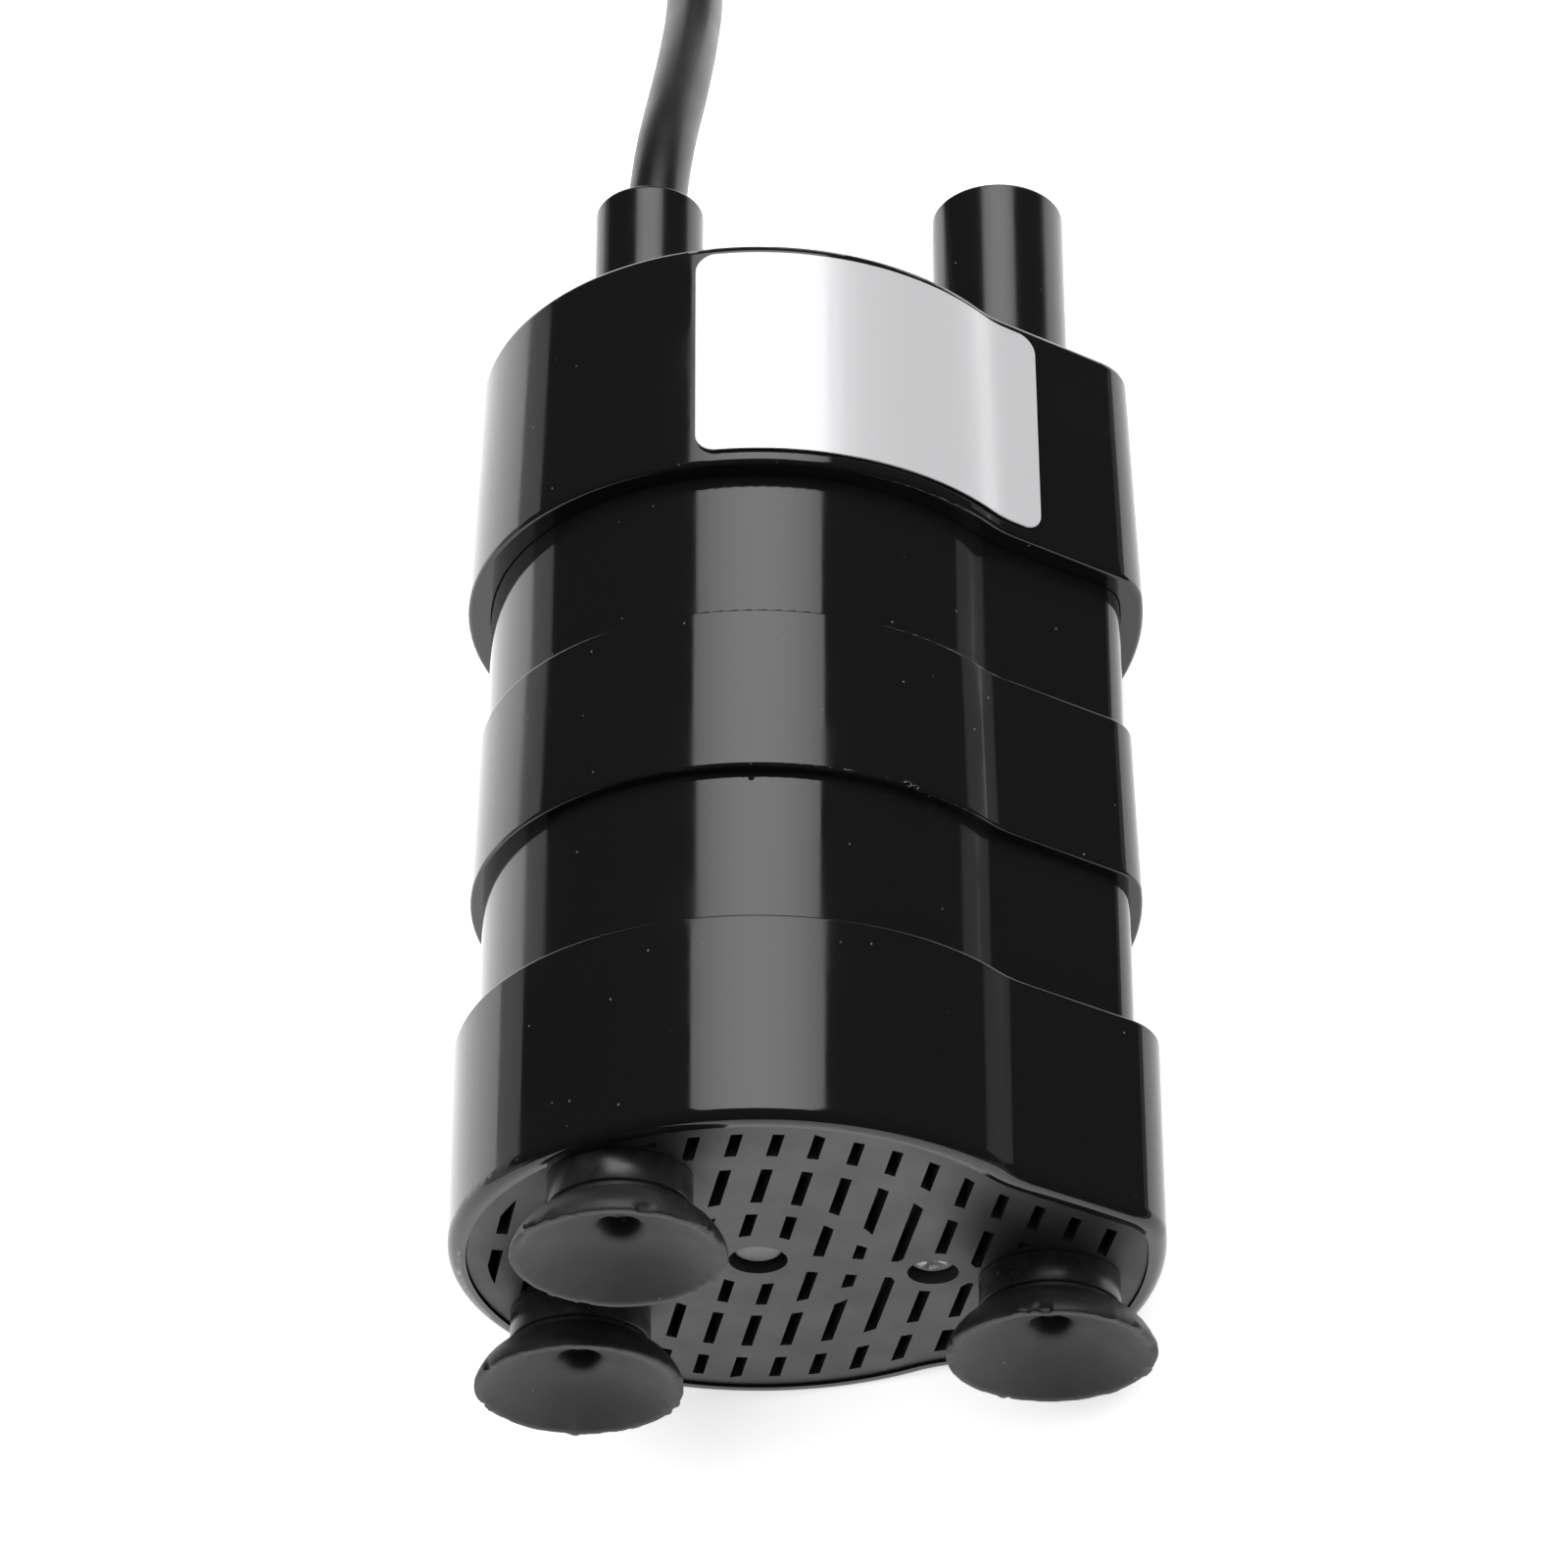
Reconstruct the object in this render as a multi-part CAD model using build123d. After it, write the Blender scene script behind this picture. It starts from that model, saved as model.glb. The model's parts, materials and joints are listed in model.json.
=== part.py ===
from build123d import *
import os
from math import acos, atan2, cos, degrees, hypot, pi, radians, sin, sqrt, tan

# Submersible aquarium pump and filter. Every piece of the pump is modelled upright: the pump
# axis is Z, the suction cups stand on z = 0 and +X points at the blunt lobe that holds the
# riser. lay_down() then puts the whole pump on its back on the floor, with the pump axis
# along +Y. The cord is modelled where it lies on that floor. All sizes are in millimetres.

# Casing outline: a round lobe about the pump axis and a blunt lobe for the riser
LOBE_RADIUS = 27.35
SIDE_INSET = 1.65        # the straight sides run this much nearer the axis than the round lobe
SIDE_ANGLE = 25.5        # degrees, each side to the plane of symmetry
NOSE_RADIUS = 36.7       # end of the blunt lobe, about the pump axis
CORNER_RADIUS = 4.5
WAIST_RADIUS = 15.0      # hollow between the round lobe and each side
WALL = 2.2

# Stack, from the cup lips up
CUP_HEIGHT = 8.15
BASE_HEIGHT = 21.15
LOWER_SHOW = 16.9        # bare height of the lower tube
BAND_HEIGHT = 18.0
UPPER_SHOW = 15.95       # bare height of the upper tube
CAP_HEIGHT = 27.1
GLAND_REACH = 23.4       # above the cap
OUTLET_REACH = 27.0      # above the cap

# How far each shell stands outside the tubes
BASE_STEP = 2.4
BAND_STEP_TOP = 0.75
BAND_STEP_LOW = 1.25
CAP_STEP_TOP = 1.5
CAP_STEP_LOW = 2.4

# Clearances
SLIP = 0.1               # between pieces that are glued or pushed together
RUNNING = 0.05           # radial, shaft in its bushes and seal

# Base and strainer
BASE_ROUND = 1.3
EDGE_ROUND = 0.3         # upper edge of the base and both edges of the band
BASE_LIP = 0.3           # the rim stands this much below the strainer face
PLATE_THICKNESS = 2.0
PLATE_STEP = 0.5         # plate edge outside the tube outline
SEAT_INSET = 0.9         # ledge that the plate and the lower tube sit against
SEAT_HEIGHT = 6.85
SLOT_WIDTH = 1.1
SLOT_PITCH = 3.8
SLOT_FIRST = -2.05       # one slot column's distance from the axis
SLOT_RINGS = ((1.4, 5.75), (8.4, 15.25), (17.65, 22.15))  # depths inside the tube outline
SHORT_COLUMN = 11.0      # past this column the middle ring runs in to the rib
RIB_HALF = 1.7
CENTRE_HOLE_RADIUS = 2.85
SCREW_DISTANCE = 17.0    # strainer screw from the pump axis
SCREW_HEAD_RADIUS = 2.3
SCREW_SHANK_RADIUS = 1.3
SCREW_RECESS = 2.6
BOSS_WALL = 1.5

# Suction cups
CUP_LIP_RADIUS = 10.15
CUP_NECK_RADIUS = 6.85
CUP_NECK_HEIGHT = 3.2
CUP_STEM_RADIUS = 3.0
CUP_EDGE_DISTANCE = 6.35  # cup centre inside the round lobe's edge
CUP_ANGLE = 136.5         # degrees round from the blunt lobe
CUP_NOSE_DISTANCE = 8.3   # third cup's centre inside the nose

# Pump chamber
COVER_THICKNESS = 1.6
GASKET_THICKNESS = 0.4
CHAMBER_RADIUS = 17.5
CHAMBER_DEPTH = 12.0
CHAMBER_WALL = 2.0
BULKHEAD = 3.0
INLET_RADIUS = 6.5
IMPELLER_GAP = 1.5       # impeller to the chamber, all round
IMPELLER_DISC = 1.5
IMPELLER_HUB_RADIUS = 4.2
BLADE_THICKNESS = 1.3
BLADE_COUNT = 6
COVER_SCREW_RADIUS = 1.1
COVER_POST_RADIUS = 2.3

# Riser and gland
RISER_INSET = 11.0       # riser axis inside the nose
RISER_RADIUS = 7.0
RISER_FOOT_RADIUS = 7.25
RISER_BORE_RADIUS = 5.0
RISER_FOOT_HEIGHT = 5.0
RISER_TAPER = 2.0
RISER_SOCKET = 3.0       # riser's end below the bulkhead's top
SEAL_THICKNESS = 1.0
GLAND_OFFSET = 11.9      # gland axis from the pump axis
GLAND_RADIUS = 5.7
GLAND_BORE_RADIUS = 4.3
GLAND_FLANGE_RADIUS = 8.0
GLAND_FLANGE = 2.0
SEAL_DEPTH = 16.65       # potting below the gland's mouth

# Motor
SHAFT_RADIUS = 1.6
BUSH_RADIUS = 3.5
BUSH_LENGTH = 4.5
MOTOR_RADIUS = 17.8
CAN_WALL = 1.2
MAGNET_THICKNESS = 3.0
AIR_GAP = 0.6
MOTOR_HEADROOM = 25.7    # motor top to the cap's ceiling
COMMUTATOR_RADIUS = 4.2
TERMINAL_DISTANCE = 9.0
LEAD_RADIUS = 0.9
LEAD_SPREAD = 2.2
BRUSH_SIZE = 4.0
BRUSH_LENGTH = 8.6
BRUSH_OFFSET = 4.0       # brush's middle outside the commutator
BRUSH_LEVEL = 7.5        # below the motor's rear face
HOLDER_WALL = 1.2
BELL_RIM = 1.5           # rear cover outside the can
BELL_DEPTH = 4.5
MAGNET_FRONT, MAGNET_REAR = 7.0, 13.5    # magnets from the motor's two ends
CORE_FRONT, CORE_REAR = 9.0, 15.5
CORE_SLOTS = 5
SLOT_RADIUS = 2.3        # winding slot
SLOT_MOUTH = 1.6
WINDING_LENGTH = 3.5     # end turns past the core
COMMUTATOR_FRONT, COMMUTATOR_REAR = 10.5, 5.0   # from the motor's rear face
MOTOR_SCREW_RADIUS = 1.5
MOTOR_SCREW_HEAD = 2.4
MOTOR_SCREW_OFFSET = 12.46

# Cap
ROOF = 2.5
CAP_ROUND = 1.0
TUBE_INTO_CAP = 9.0
SPIGOT = 6.0             # length of each tube inside the band
SPIGOT_STEP = 1.0
LABEL_THICKNESS = 0.25
LABEL_GLUE = 0.08        # glue line under the label
LABEL_LEFT = -10.75
LABEL_RIGHT = 25.5
LABEL_MARGIN_TOP = 1.5
LABEL_MARGIN_LOW = 1.4
LABEL_CORNER = 2.0

# Cord
CORD_RADIUS = 3.15
CORD_ROUTE = (
    (-14.06, 46.9, 35.61),
    (-14.06, 66.0, 35.61),
    (-15.0, 96.0, 22.3),
    (-19.4, 118.0, 9.4),
    (-25.0, 137.0, 3.4),
)
HANK_LEFT = -25.5        # outer turn's centreline on the side where the cord arrives
HANK_HALF_WIDTH = 16.0   # outer turn's centreline from the hank's middle
HANK_NEAR, HANK_RUN = 152.5, 100.0   # straight part of the turns
HANK_ROWS = 2            # turns side by side, in each of two layers
HANK_PITCH = 6.5
HANK_LIFT = 0.9          # the tie passes under the hank
TAIL_ROUTE = (
    (-25.5, 267.7, 10.35),
    (-25.5, 275.1, 9.9),
    (-25.5, 287.1, 5.1),
    (-25.5, 293.6, 5.1),
)
TIE_WIDTH = 9.0
TIE_THICKNESS = 0.7
PLUG_RADIUS = 5.0
PLUG_LENGTH = 22.0
RELIEF_LENGTH = 20.0
BARREL_RADIUS = 2.75
BARREL_BORE_RADIUS = 1.05
BARREL_LENGTH = 9.5

# Levels worked out from the stack
Z_FACE = CUP_HEIGHT
Z_PLATE_TOP = Z_FACE + PLATE_THICKNESS
Z_BASE_TOP = Z_FACE + BASE_HEIGHT
Z_BAND_LOW = Z_BASE_TOP + LOWER_SHOW
Z_BAND_TOP = Z_BAND_LOW + BAND_HEIGHT
Z_CAP_LOW = Z_BAND_TOP + UPPER_SHOW
Z_CAP_TOP = Z_CAP_LOW + CAP_HEIGHT
Z_ROOF = Z_CAP_TOP - ROOF
Z_GLAND_TOP = Z_CAP_TOP + GLAND_REACH
Z_OUTLET_TOP = Z_CAP_TOP + OUTLET_REACH
Z_SEAL_TOP = Z_GLAND_TOP - SEAL_DEPTH
Z_TUBE_LOW = Z_PLATE_TOP + SEAT_HEIGHT
Z_COVER_TOP = Z_TUBE_LOW + COVER_THICKNESS
Z_CHAMBER_LOW = Z_COVER_TOP + GASKET_THICKNESS
Z_CHAMBER_TOP = Z_CHAMBER_LOW + CHAMBER_DEPTH
Z_MOTOR_LOW = Z_CHAMBER_TOP + BULKHEAD
Z_MOTOR_TOP = Z_ROOF - MOTOR_HEADROOM
Z_TUBE_TOP = Z_CAP_LOW + TUBE_INTO_CAP
RISER_X = NOSE_RADIUS - RISER_INSET
GLAND_X = -GLAND_OFFSET
CUP_RING = LOBE_RADIUS - CUP_EDGE_DISTANCE
CUP_CENTRES = (
    (CUP_RING * cos(radians(CUP_ANGLE)), -CUP_RING * sin(radians(CUP_ANGLE))),
    (CUP_RING * cos(radians(CUP_ANGLE)), CUP_RING * sin(radians(CUP_ANGLE))),
    (NOSE_RADIUS - CUP_NOSE_DISTANCE, 0),
)
BOSS_RADIUS = SCREW_HEAD_RADIUS + BOSS_WALL
COVER_SCREW_RING = CHAMBER_RADIUS + CHAMBER_WALL + COVER_POST_RADIUS + 0.4
COVER_SCREWS = ((0, COVER_SCREW_RING), (0, -COVER_SCREW_RING), (-COVER_SCREW_RING, 0))


def corner_centre():
    """Centre of the rounded corner between the rear side and the nose."""
    side = LOBE_RADIUS - SIDE_INSET - CORNER_RADIUS
    along = sqrt((NOSE_RADIUS - CORNER_RADIUS) ** 2 - side**2)
    angle = radians(SIDE_ANGLE)
    return (side * sin(angle) + along * cos(angle), side * cos(angle) - along * sin(angle))


def outline(step):
    """Casing outline as a face, moved out by step."""
    angle = radians(SIDE_ANGLE)
    nx, ny, tx, ty = sin(angle), cos(angle), cos(angle), -sin(angle)
    lobe, side, nose = LOBE_RADIUS + step, LOBE_RADIUS - SIDE_INSET + step, NOSE_RADIUS + step
    waist = WAIST_RADIUS - step
    along = sqrt((lobe + waist) ** 2 - (side + waist) ** 2)
    wx, wy = nx * (side + waist) + tx * along, ny * (side + waist) + ty * along
    share = lobe / (lobe + waist)
    start = (wx * share, wy * share)
    waist_end = (nx * side + tx * along, ny * side + ty * along)
    cx, cy = corner_centre()
    corner = CORNER_RADIUS + step
    side_end = (cx + nx * corner, cy + ny * corner)
    stretch = nose / hypot(cx, cy)
    nose_start = (cx * stretch, cy * stretch)
    waist_mid = arc_middle((wx, wy), waist, start, waist_end)
    corner_mid = arc_middle((cx, cy), corner, side_end, nose_start)
    half = (
        ThreePointArc(start, waist_mid, waist_end),
        Line(waist_end, side_end),
        ThreePointArc(side_end, corner_mid, nose_start),
    )
    edges = [ThreePointArc(start, (-lobe, 0), (start[0], -start[1])), *half]
    edges += [edge.mirror(Plane.XZ) for edge in half]
    edges.append(ThreePointArc(nose_start, (nose, 0), (nose_start[0], -nose_start[1])))
    return make_face(edges)


def arc_middle(centre, radius, start, end):
    """Middle point of the short arc from start to end."""
    mx = (start[0] + end[0]) / 2 - centre[0]
    my = (start[1] + end[1]) / 2 - centre[1]
    share = radius / hypot(mx, my)
    return (centre[0] + mx * share, centre[1] + my * share)


def slab(step, low, high):
    """Solid with the casing outline."""
    return extrude(Pos(0, 0, low) * outline(step), high - low)


def tapered(step_low, step_high, low, high):
    """Solid whose outline grows or shrinks with height."""
    return loft([Pos(0, 0, low) * outline(step_low), Pos(0, 0, high) * outline(step_high)], ruled=True)


def rod(radius, low, high, x=0, y=0):
    """Upright cylinder between two levels."""
    return Pos(x, y, (low + high) / 2) * Cylinder(radius, high - low)


def ring(outer, inner, low, high, x=0, y=0):
    """Upright tube between two levels."""
    return rod(outer, low, high, x, y) - rod(inner, low - 1, high + 1, x, y)


def block(x_low, x_high, half_width, low, high):
    """Box symmetric about the plane of symmetry."""
    return Pos((x_low + x_high) / 2, 0, (low + high) / 2) * Box(
        x_high - x_low, 2 * half_width, high - low
    )


def edges_at(solid, level):
    """Edges that lie at one height."""
    return solid.edges().filter_by_position(Axis.Z, level - 0.001, level + 0.001)


def plain_region(depth):
    """Outline moved in by depth, without rounded corners: the edge of a ring of slots."""
    angle = radians(SIDE_ANGLE)
    side = LOBE_RADIUS - SIDE_INSET - depth
    tip = side / sin(angle)
    half = side / cos(angle)
    wedge = make_face(Polyline((0, -half), (tip, 0), (0, half), close=True))
    return Circle(LOBE_RADIUS - depth) + (wedge & Circle(NOSE_RADIUS - depth))


def slot_faces():
    """Strainer slots: columns cut to rings that follow the outline."""
    far = 2 * NOSE_RADIUS
    left_part = Pos(SHORT_COLUMN - far / 2, 0) * Rectangle(far, far)
    (o1, i1), (o2, i2), (o3, i3) = SLOT_RINGS
    rings = plain_region(o1) - plain_region(i1)
    rings += plain_region(o2) - (plain_region(i2) & left_part)
    rings += (plain_region(o3) & left_part) - Circle(LOBE_RADIUS - i3)
    first = -int((LOBE_RADIUS + SLOT_FIRST) // SLOT_PITCH)
    last = int((NOSE_RADIUS - SLOT_FIRST) // SLOT_PITCH)
    columns = [
        Pos(SLOT_FIRST + SLOT_PITCH * k, 0) * Rectangle(SLOT_WIDTH, far)
        for k in range(first, last + 1)
    ]
    kept = Sketch() + columns
    kept -= Rectangle(2 * far, 2 * RIB_HALF)
    kept -= Circle(CENTRE_HOLE_RADIUS + 2.35)
    kept -= Pos(SCREW_DISTANCE, 0) * Circle(BOSS_RADIUS + 0.3)
    for x, y in CUP_CENTRES:
        kept -= Pos(x, y) * Circle(CUP_NECK_RADIUS + 0.4)
    return rings & kept


def strainer_plate():
    plate = slab(PLATE_STEP, Z_FACE, Z_PLATE_TOP)
    plate += rod(BOSS_RADIUS, Z_PLATE_TOP, Z_FACE + SCREW_RECESS + 2, SCREW_DISTANCE)
    plate -= extrude(Pos(0, 0, Z_FACE - 1) * slot_faces(), PLATE_THICKNESS + 2)
    plate -= rod(CENTRE_HOLE_RADIUS, 0, Z_TUBE_LOW)
    plate -= rod(SCREW_HEAD_RADIUS + 0.2, 0, Z_FACE + SCREW_RECESS, SCREW_DISTANCE)
    plate -= rod(SCREW_SHANK_RADIUS + SLIP, 0, Z_TUBE_LOW, SCREW_DISTANCE)
    for x, y in CUP_CENTRES:
        plate -= rod(CUP_STEM_RADIUS + SLIP, 0, Z_TUBE_LOW, x, y)
    return plate


def base_cup():
    low = Z_FACE - BASE_LIP
    cup = slab(BASE_STEP, low, Z_BASE_TOP)
    cup = fillet(edges_at(cup, low), BASE_ROUND)
    cup = fillet(edges_at(cup, Z_BASE_TOP), EDGE_ROUND)
    cup -= slab(PLATE_STEP + SLIP, low - 1, Z_PLATE_TOP)
    cup -= slab(-SEAT_INSET, low, Z_TUBE_LOW + 1)
    cup -= slab(SLIP, Z_TUBE_LOW, Z_BASE_TOP + 1)
    return cup


def suction_cup(x, y):
    """Rubber cup with a neck, a groove, a domed flare and a stem that snaps into the plate."""
    neck_low = CUP_HEIGHT - CUP_NECK_HEIGHT
    groove_radius = CUP_NECK_RADIUS - 0.45
    lip, lip_height, wall = CUP_LIP_RADIUS, 0.5, 0.75
    stem, head = CUP_STEM_RADIUS, CUP_STEM_RADIUS + 0.8
    dimple_top, dimple_low = neck_low + 0.6, neck_low - 1.55
    outside = [
        Line((0, dimple_top), (2.0, dimple_top)),
        Line((2.0, dimple_top), (2.0, dimple_low)),
        ThreePointArc((2.0, dimple_low), (5.9, 1.95), (lip - wall, 0)),
        Line((lip - wall, 0), (lip, 0)),
        Line((lip, 0), (lip, lip_height)),
        ThreePointArc((lip, lip_height), (8.9, 2.75), (groove_radius, neck_low - 0.45)),
        Line((groove_radius, neck_low - 0.45), (groove_radius, neck_low)),
        Line((groove_radius, neck_low), (CUP_NECK_RADIUS, neck_low)),
        Line((CUP_NECK_RADIUS, neck_low), (CUP_NECK_RADIUS, CUP_HEIGHT)),
        Line((CUP_NECK_RADIUS, CUP_HEIGHT), (stem, CUP_HEIGHT)),
        Line((stem, CUP_HEIGHT), (stem, Z_PLATE_TOP)),
        Line((stem, Z_PLATE_TOP), (head, Z_PLATE_TOP)),
        Line((head, Z_PLATE_TOP), (stem - 0.6, Z_PLATE_TOP + 2.2)),
        Line((stem - 0.6, Z_PLATE_TOP + 2.2), (0, Z_PLATE_TOP + 2.2)),
        Line((0, Z_PLATE_TOP + 2.2), (0, dimple_top)),
    ]
    profile = Plane.XZ * make_face(outside)
    return Pos(x, y, 0) * revolve(profile, Axis.Z)


def strainer_screw():
    """Cross-head screw, head down in the plate's recess."""
    seat = Z_FACE + SCREW_RECESS
    head = rod(SCREW_HEAD_RADIUS, seat - 1.5, seat)
    head = fillet(edges_at(head, seat - 1.5), 0.5)
    screw = head + rod(SCREW_SHANK_RADIUS, seat, Z_TUBE_LOW + 1)
    arm = SCREW_HEAD_RADIUS * 0.62
    for turn in (0, 90):
        screw -= Pos(0, 0, seat - 1.5) * Rot(0, 0, turn) * Box(2 * arm, 0.7, 2 * 0.85)
    return Pos(SCREW_DISTANCE, 0, 0) * Rot(0, 0, 25) * screw


def foam_pad():
    low, high = Z_PLATE_TOP + 0.3, Z_TUBE_LOW - COVER_THICKNESS - 0.6
    pad = slab(-SEAT_INSET - 0.4, low, high)
    pad -= rod(CENTRE_HOLE_RADIUS + 0.3, 0, Z_TUBE_LOW)
    pad -= rod(BOSS_RADIUS + 0.3, 0, Z_TUBE_LOW, SCREW_DISTANCE)
    for x, y in CUP_CENTRES:
        pad -= rod(CUP_STEM_RADIUS + 1.2, 0, Z_TUBE_LOW, x, y)
    return pad


def pump_cover():
    """Inlet plate with a spider, a centring pin and the post for the strainer screw."""
    cover = slab(-WALL - SLIP, Z_TUBE_LOW, Z_COVER_TOP)
    cover -= rod(INLET_RADIUS, 0, Z_CHAMBER_LOW)
    for turn in (0, 120, 240):
        arm = Pos(INLET_RADIUS / 2, 0, Z_TUBE_LOW + COVER_THICKNESS / 2) * Box(
            INLET_RADIUS + 1, 1.6, COVER_THICKNESS
        )
        cover += Rot(0, 0, turn) * arm
    pin_low = Z_FACE + 0.9
    pin = rod(CENTRE_HOLE_RADIUS - 0.45, pin_low, Z_COVER_TOP)
    cover += fillet(edges_at(pin, pin_low), 0.5)
    cover += rod(BOSS_RADIUS, Z_FACE + SCREW_RECESS + 2 + SLIP, Z_TUBE_LOW, SCREW_DISTANCE)
    cover -= rod(SCREW_SHANK_RADIUS + RUNNING, 0, Z_CHAMBER_LOW, SCREW_DISTANCE)
    for x, y in COVER_SCREWS:
        cover -= rod(COVER_SCREW_RADIUS + SLIP, 0, Z_CHAMBER_LOW, x, y)
    return cover


def cover_screws():
    """Three pan-head screws that hold the cover to the chamber."""
    screws = []
    for x, y in COVER_SCREWS:
        head = rod(COVER_SCREW_RADIUS * 2, Z_TUBE_LOW - 1.5, Z_TUBE_LOW, x, y)
        shank = rod(COVER_SCREW_RADIUS, Z_TUBE_LOW, Z_CHAMBER_TOP - 4, x, y)
        screws.append(fillet(edges_at(head, Z_TUBE_LOW - 1.5), 0.5) + shank)
    return Compound(children=screws)


def chamber_section(low, high):
    """Walls of the round chamber and of the duct to the riser, between two levels."""
    inside = slab(-WALL, low, high)
    outer = CHAMBER_RADIUS + CHAMBER_WALL
    duct = block(0, 2 * NOSE_RADIUS, RISER_RADIUS + CHAMBER_WALL, low, high) & inside
    walls = rod(outer, low, high) + duct
    walls -= rod(CHAMBER_RADIUS, low - 1, high + 1)
    walls -= rod(RISER_BORE_RADIUS + 1, low - 1, high + 1, RISER_X)
    walls -= block(CHAMBER_RADIUS - 3, RISER_X, 4, low - 1, high + 1)
    return walls


def lower_tube():
    """Bare lower tube with the pump chamber, the bulkhead and the riser's socket."""
    tube = slab(0, Z_TUBE_LOW, Z_BAND_LOW)
    tube += slab(-SPIGOT_STEP - SLIP, Z_BAND_LOW, Z_BAND_LOW + SPIGOT)
    tube -= slab(-WALL, Z_TUBE_LOW - 1, Z_BAND_LOW + SPIGOT + 1)
    tube += slab(-WALL, Z_CHAMBER_TOP, Z_MOTOR_LOW)
    tube += chamber_section(Z_CHAMBER_LOW, Z_CHAMBER_TOP)
    for x, y in COVER_SCREWS:
        tube += rod(COVER_POST_RADIUS, Z_CHAMBER_LOW, Z_CHAMBER_TOP, x, y)
        tube -= rod(COVER_SCREW_RADIUS + RUNNING, Z_TUBE_LOW, Z_CHAMBER_TOP - 3, x, y)
    socket_low = Z_MOTOR_LOW - RISER_SOCKET - SEAL_THICKNESS
    tube -= rod(RISER_RADIUS + SLIP, socket_low, Z_MOTOR_LOW + 1, RISER_X)
    tube -= rod(RISER_BORE_RADIUS + 1, Z_CHAMBER_TOP - 3, Z_MOTOR_LOW, RISER_X)
    tube -= rod(BUSH_RADIUS + 1, Z_CHAMBER_TOP - 1, Z_MOTOR_LOW + 1)
    for side in (-1, 1):
        hole = MOTOR_SCREW_RADIUS + SLIP
        tube -= rod(hole, Z_CHAMBER_TOP - 1, Z_MOTOR_LOW + 1, 0, side * MOTOR_SCREW_OFFSET)
    return tube


def motor_screws():
    """Two screws through the bulkhead into the motor's front."""
    screws = []
    for side in (-1, 1):
        y = side * MOTOR_SCREW_OFFSET
        head = rod(MOTOR_SCREW_HEAD, Z_CHAMBER_TOP - 1.1, Z_CHAMBER_TOP, 0, y)
        shank = rod(MOTOR_SCREW_RADIUS, Z_CHAMBER_TOP, Z_MOTOR_LOW + CAN_WALL, 0, y)
        screws.append(head + shank)
    return Compound(children=screws)


def chamber_gasket():
    return chamber_section(Z_COVER_TOP, Z_CHAMBER_LOW)


def impeller():
    """Open impeller with a back disc and blades that lean back."""
    radius = CHAMBER_RADIUS - IMPELLER_GAP
    top = Z_CHAMBER_TOP - IMPELLER_GAP
    low = Z_CHAMBER_LOW + IMPELLER_GAP
    wheel = rod(radius, top - IMPELLER_DISC, top)
    blade_length = radius - IMPELLER_HUB_RADIUS
    blade = Pos(radius / 2 + 1.2, 0, (low + top) / 2) * Rot(0, 0, 24) * Box(
        blade_length, BLADE_THICKNESS, top - low
    )
    for k in range(BLADE_COUNT):
        wheel += Rot(0, 0, 360 * k / BLADE_COUNT) * blade
    wheel &= rod(radius, low, top)
    wheel += rod(IMPELLER_HUB_RADIUS, low, top)
    return wheel - rod(SHAFT_RADIUS + RUNNING, 0, Z_MOTOR_LOW)


def shaft_seal():
    """Rubber lip seal in the bulkhead."""
    body = ring(BUSH_RADIUS + 0.9, SHAFT_RADIUS + RUNNING, Z_CHAMBER_TOP + 0.3, Z_MOTOR_LOW)
    return body - ring(BUSH_RADIUS, SHAFT_RADIUS + 0.8, Z_CHAMBER_TOP, Z_CHAMBER_TOP + 1.6)


def motor_can():
    can = rod(MOTOR_RADIUS, Z_MOTOR_LOW, Z_MOTOR_TOP - BELL_RIM)
    can = fillet(edges_at(can, Z_MOTOR_LOW), 0.8)
    can -= rod(MOTOR_RADIUS - CAN_WALL, Z_MOTOR_LOW + CAN_WALL, Z_MOTOR_TOP)
    for side in (-1, 1):
        hole = MOTOR_SCREW_RADIUS + SLIP
        can -= rod(hole, 0, Z_MOTOR_LOW + CAN_WALL + 1, 0, side * MOTOR_SCREW_OFFSET)
    return can - rod(BUSH_RADIUS + SLIP, 0, Z_MOTOR_LOW + CAN_WALL + 1)


def end_bell():
    """Plastic rear cover of the motor, with the brush holders and the rear bush seat."""
    top, low = Z_MOTOR_TOP, Z_MOTOR_TOP - BELL_DEPTH
    bell = rod(MOTOR_RADIUS, top - BELL_RIM + 0.02, top)
    bell += rod(MOTOR_RADIUS - CAN_WALL - SLIP, low, top - BELL_RIM + 0.1)
    half = BRUSH_SIZE / 2 + HOLDER_WALL
    level = top - BRUSH_LEVEL
    for side in (-1, 1):
        y = side * (COMMUTATOR_RADIUS + 5.5)
        bell += Pos(0, y, level) * Box(2 * half, 9.0, 6.02)
        bell -= Pos(0, y, level) * Box(BRUSH_SIZE + 0.2, 10, BRUSH_SIZE + 0.2)
        bell -= Pos(side * TERMINAL_DISTANCE, 0, top - 3) * Box(1.0, 5.2, 12)
    return bell - rod(BUSH_RADIUS + SLIP, 0, Z_ROOF)


def brush(side):
    """Carbon brush, hollowed to ride on the commutator."""
    y = side * (COMMUTATOR_RADIUS + BRUSH_OFFSET)
    carbon = Pos(0, y, Z_MOTOR_TOP - BRUSH_LEVEL) * Box(BRUSH_SIZE, BRUSH_LENGTH, BRUSH_SIZE)
    return carbon - rod(COMMUTATOR_RADIUS + RUNNING, 0, Z_ROOF)


def bush(low):
    return ring(BUSH_RADIUS, SHAFT_RADIUS + RUNNING, low, low + BUSH_LENGTH)


def motor_terminals():
    """Two brass blades through the end bell."""
    blades = [
        Pos(side * TERMINAL_DISTANCE, 0, Z_MOTOR_TOP + 1) * Box(0.8, 5.0, 9.0) for side in (-1, 1)
    ]
    return Compound(children=blades)


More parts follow.
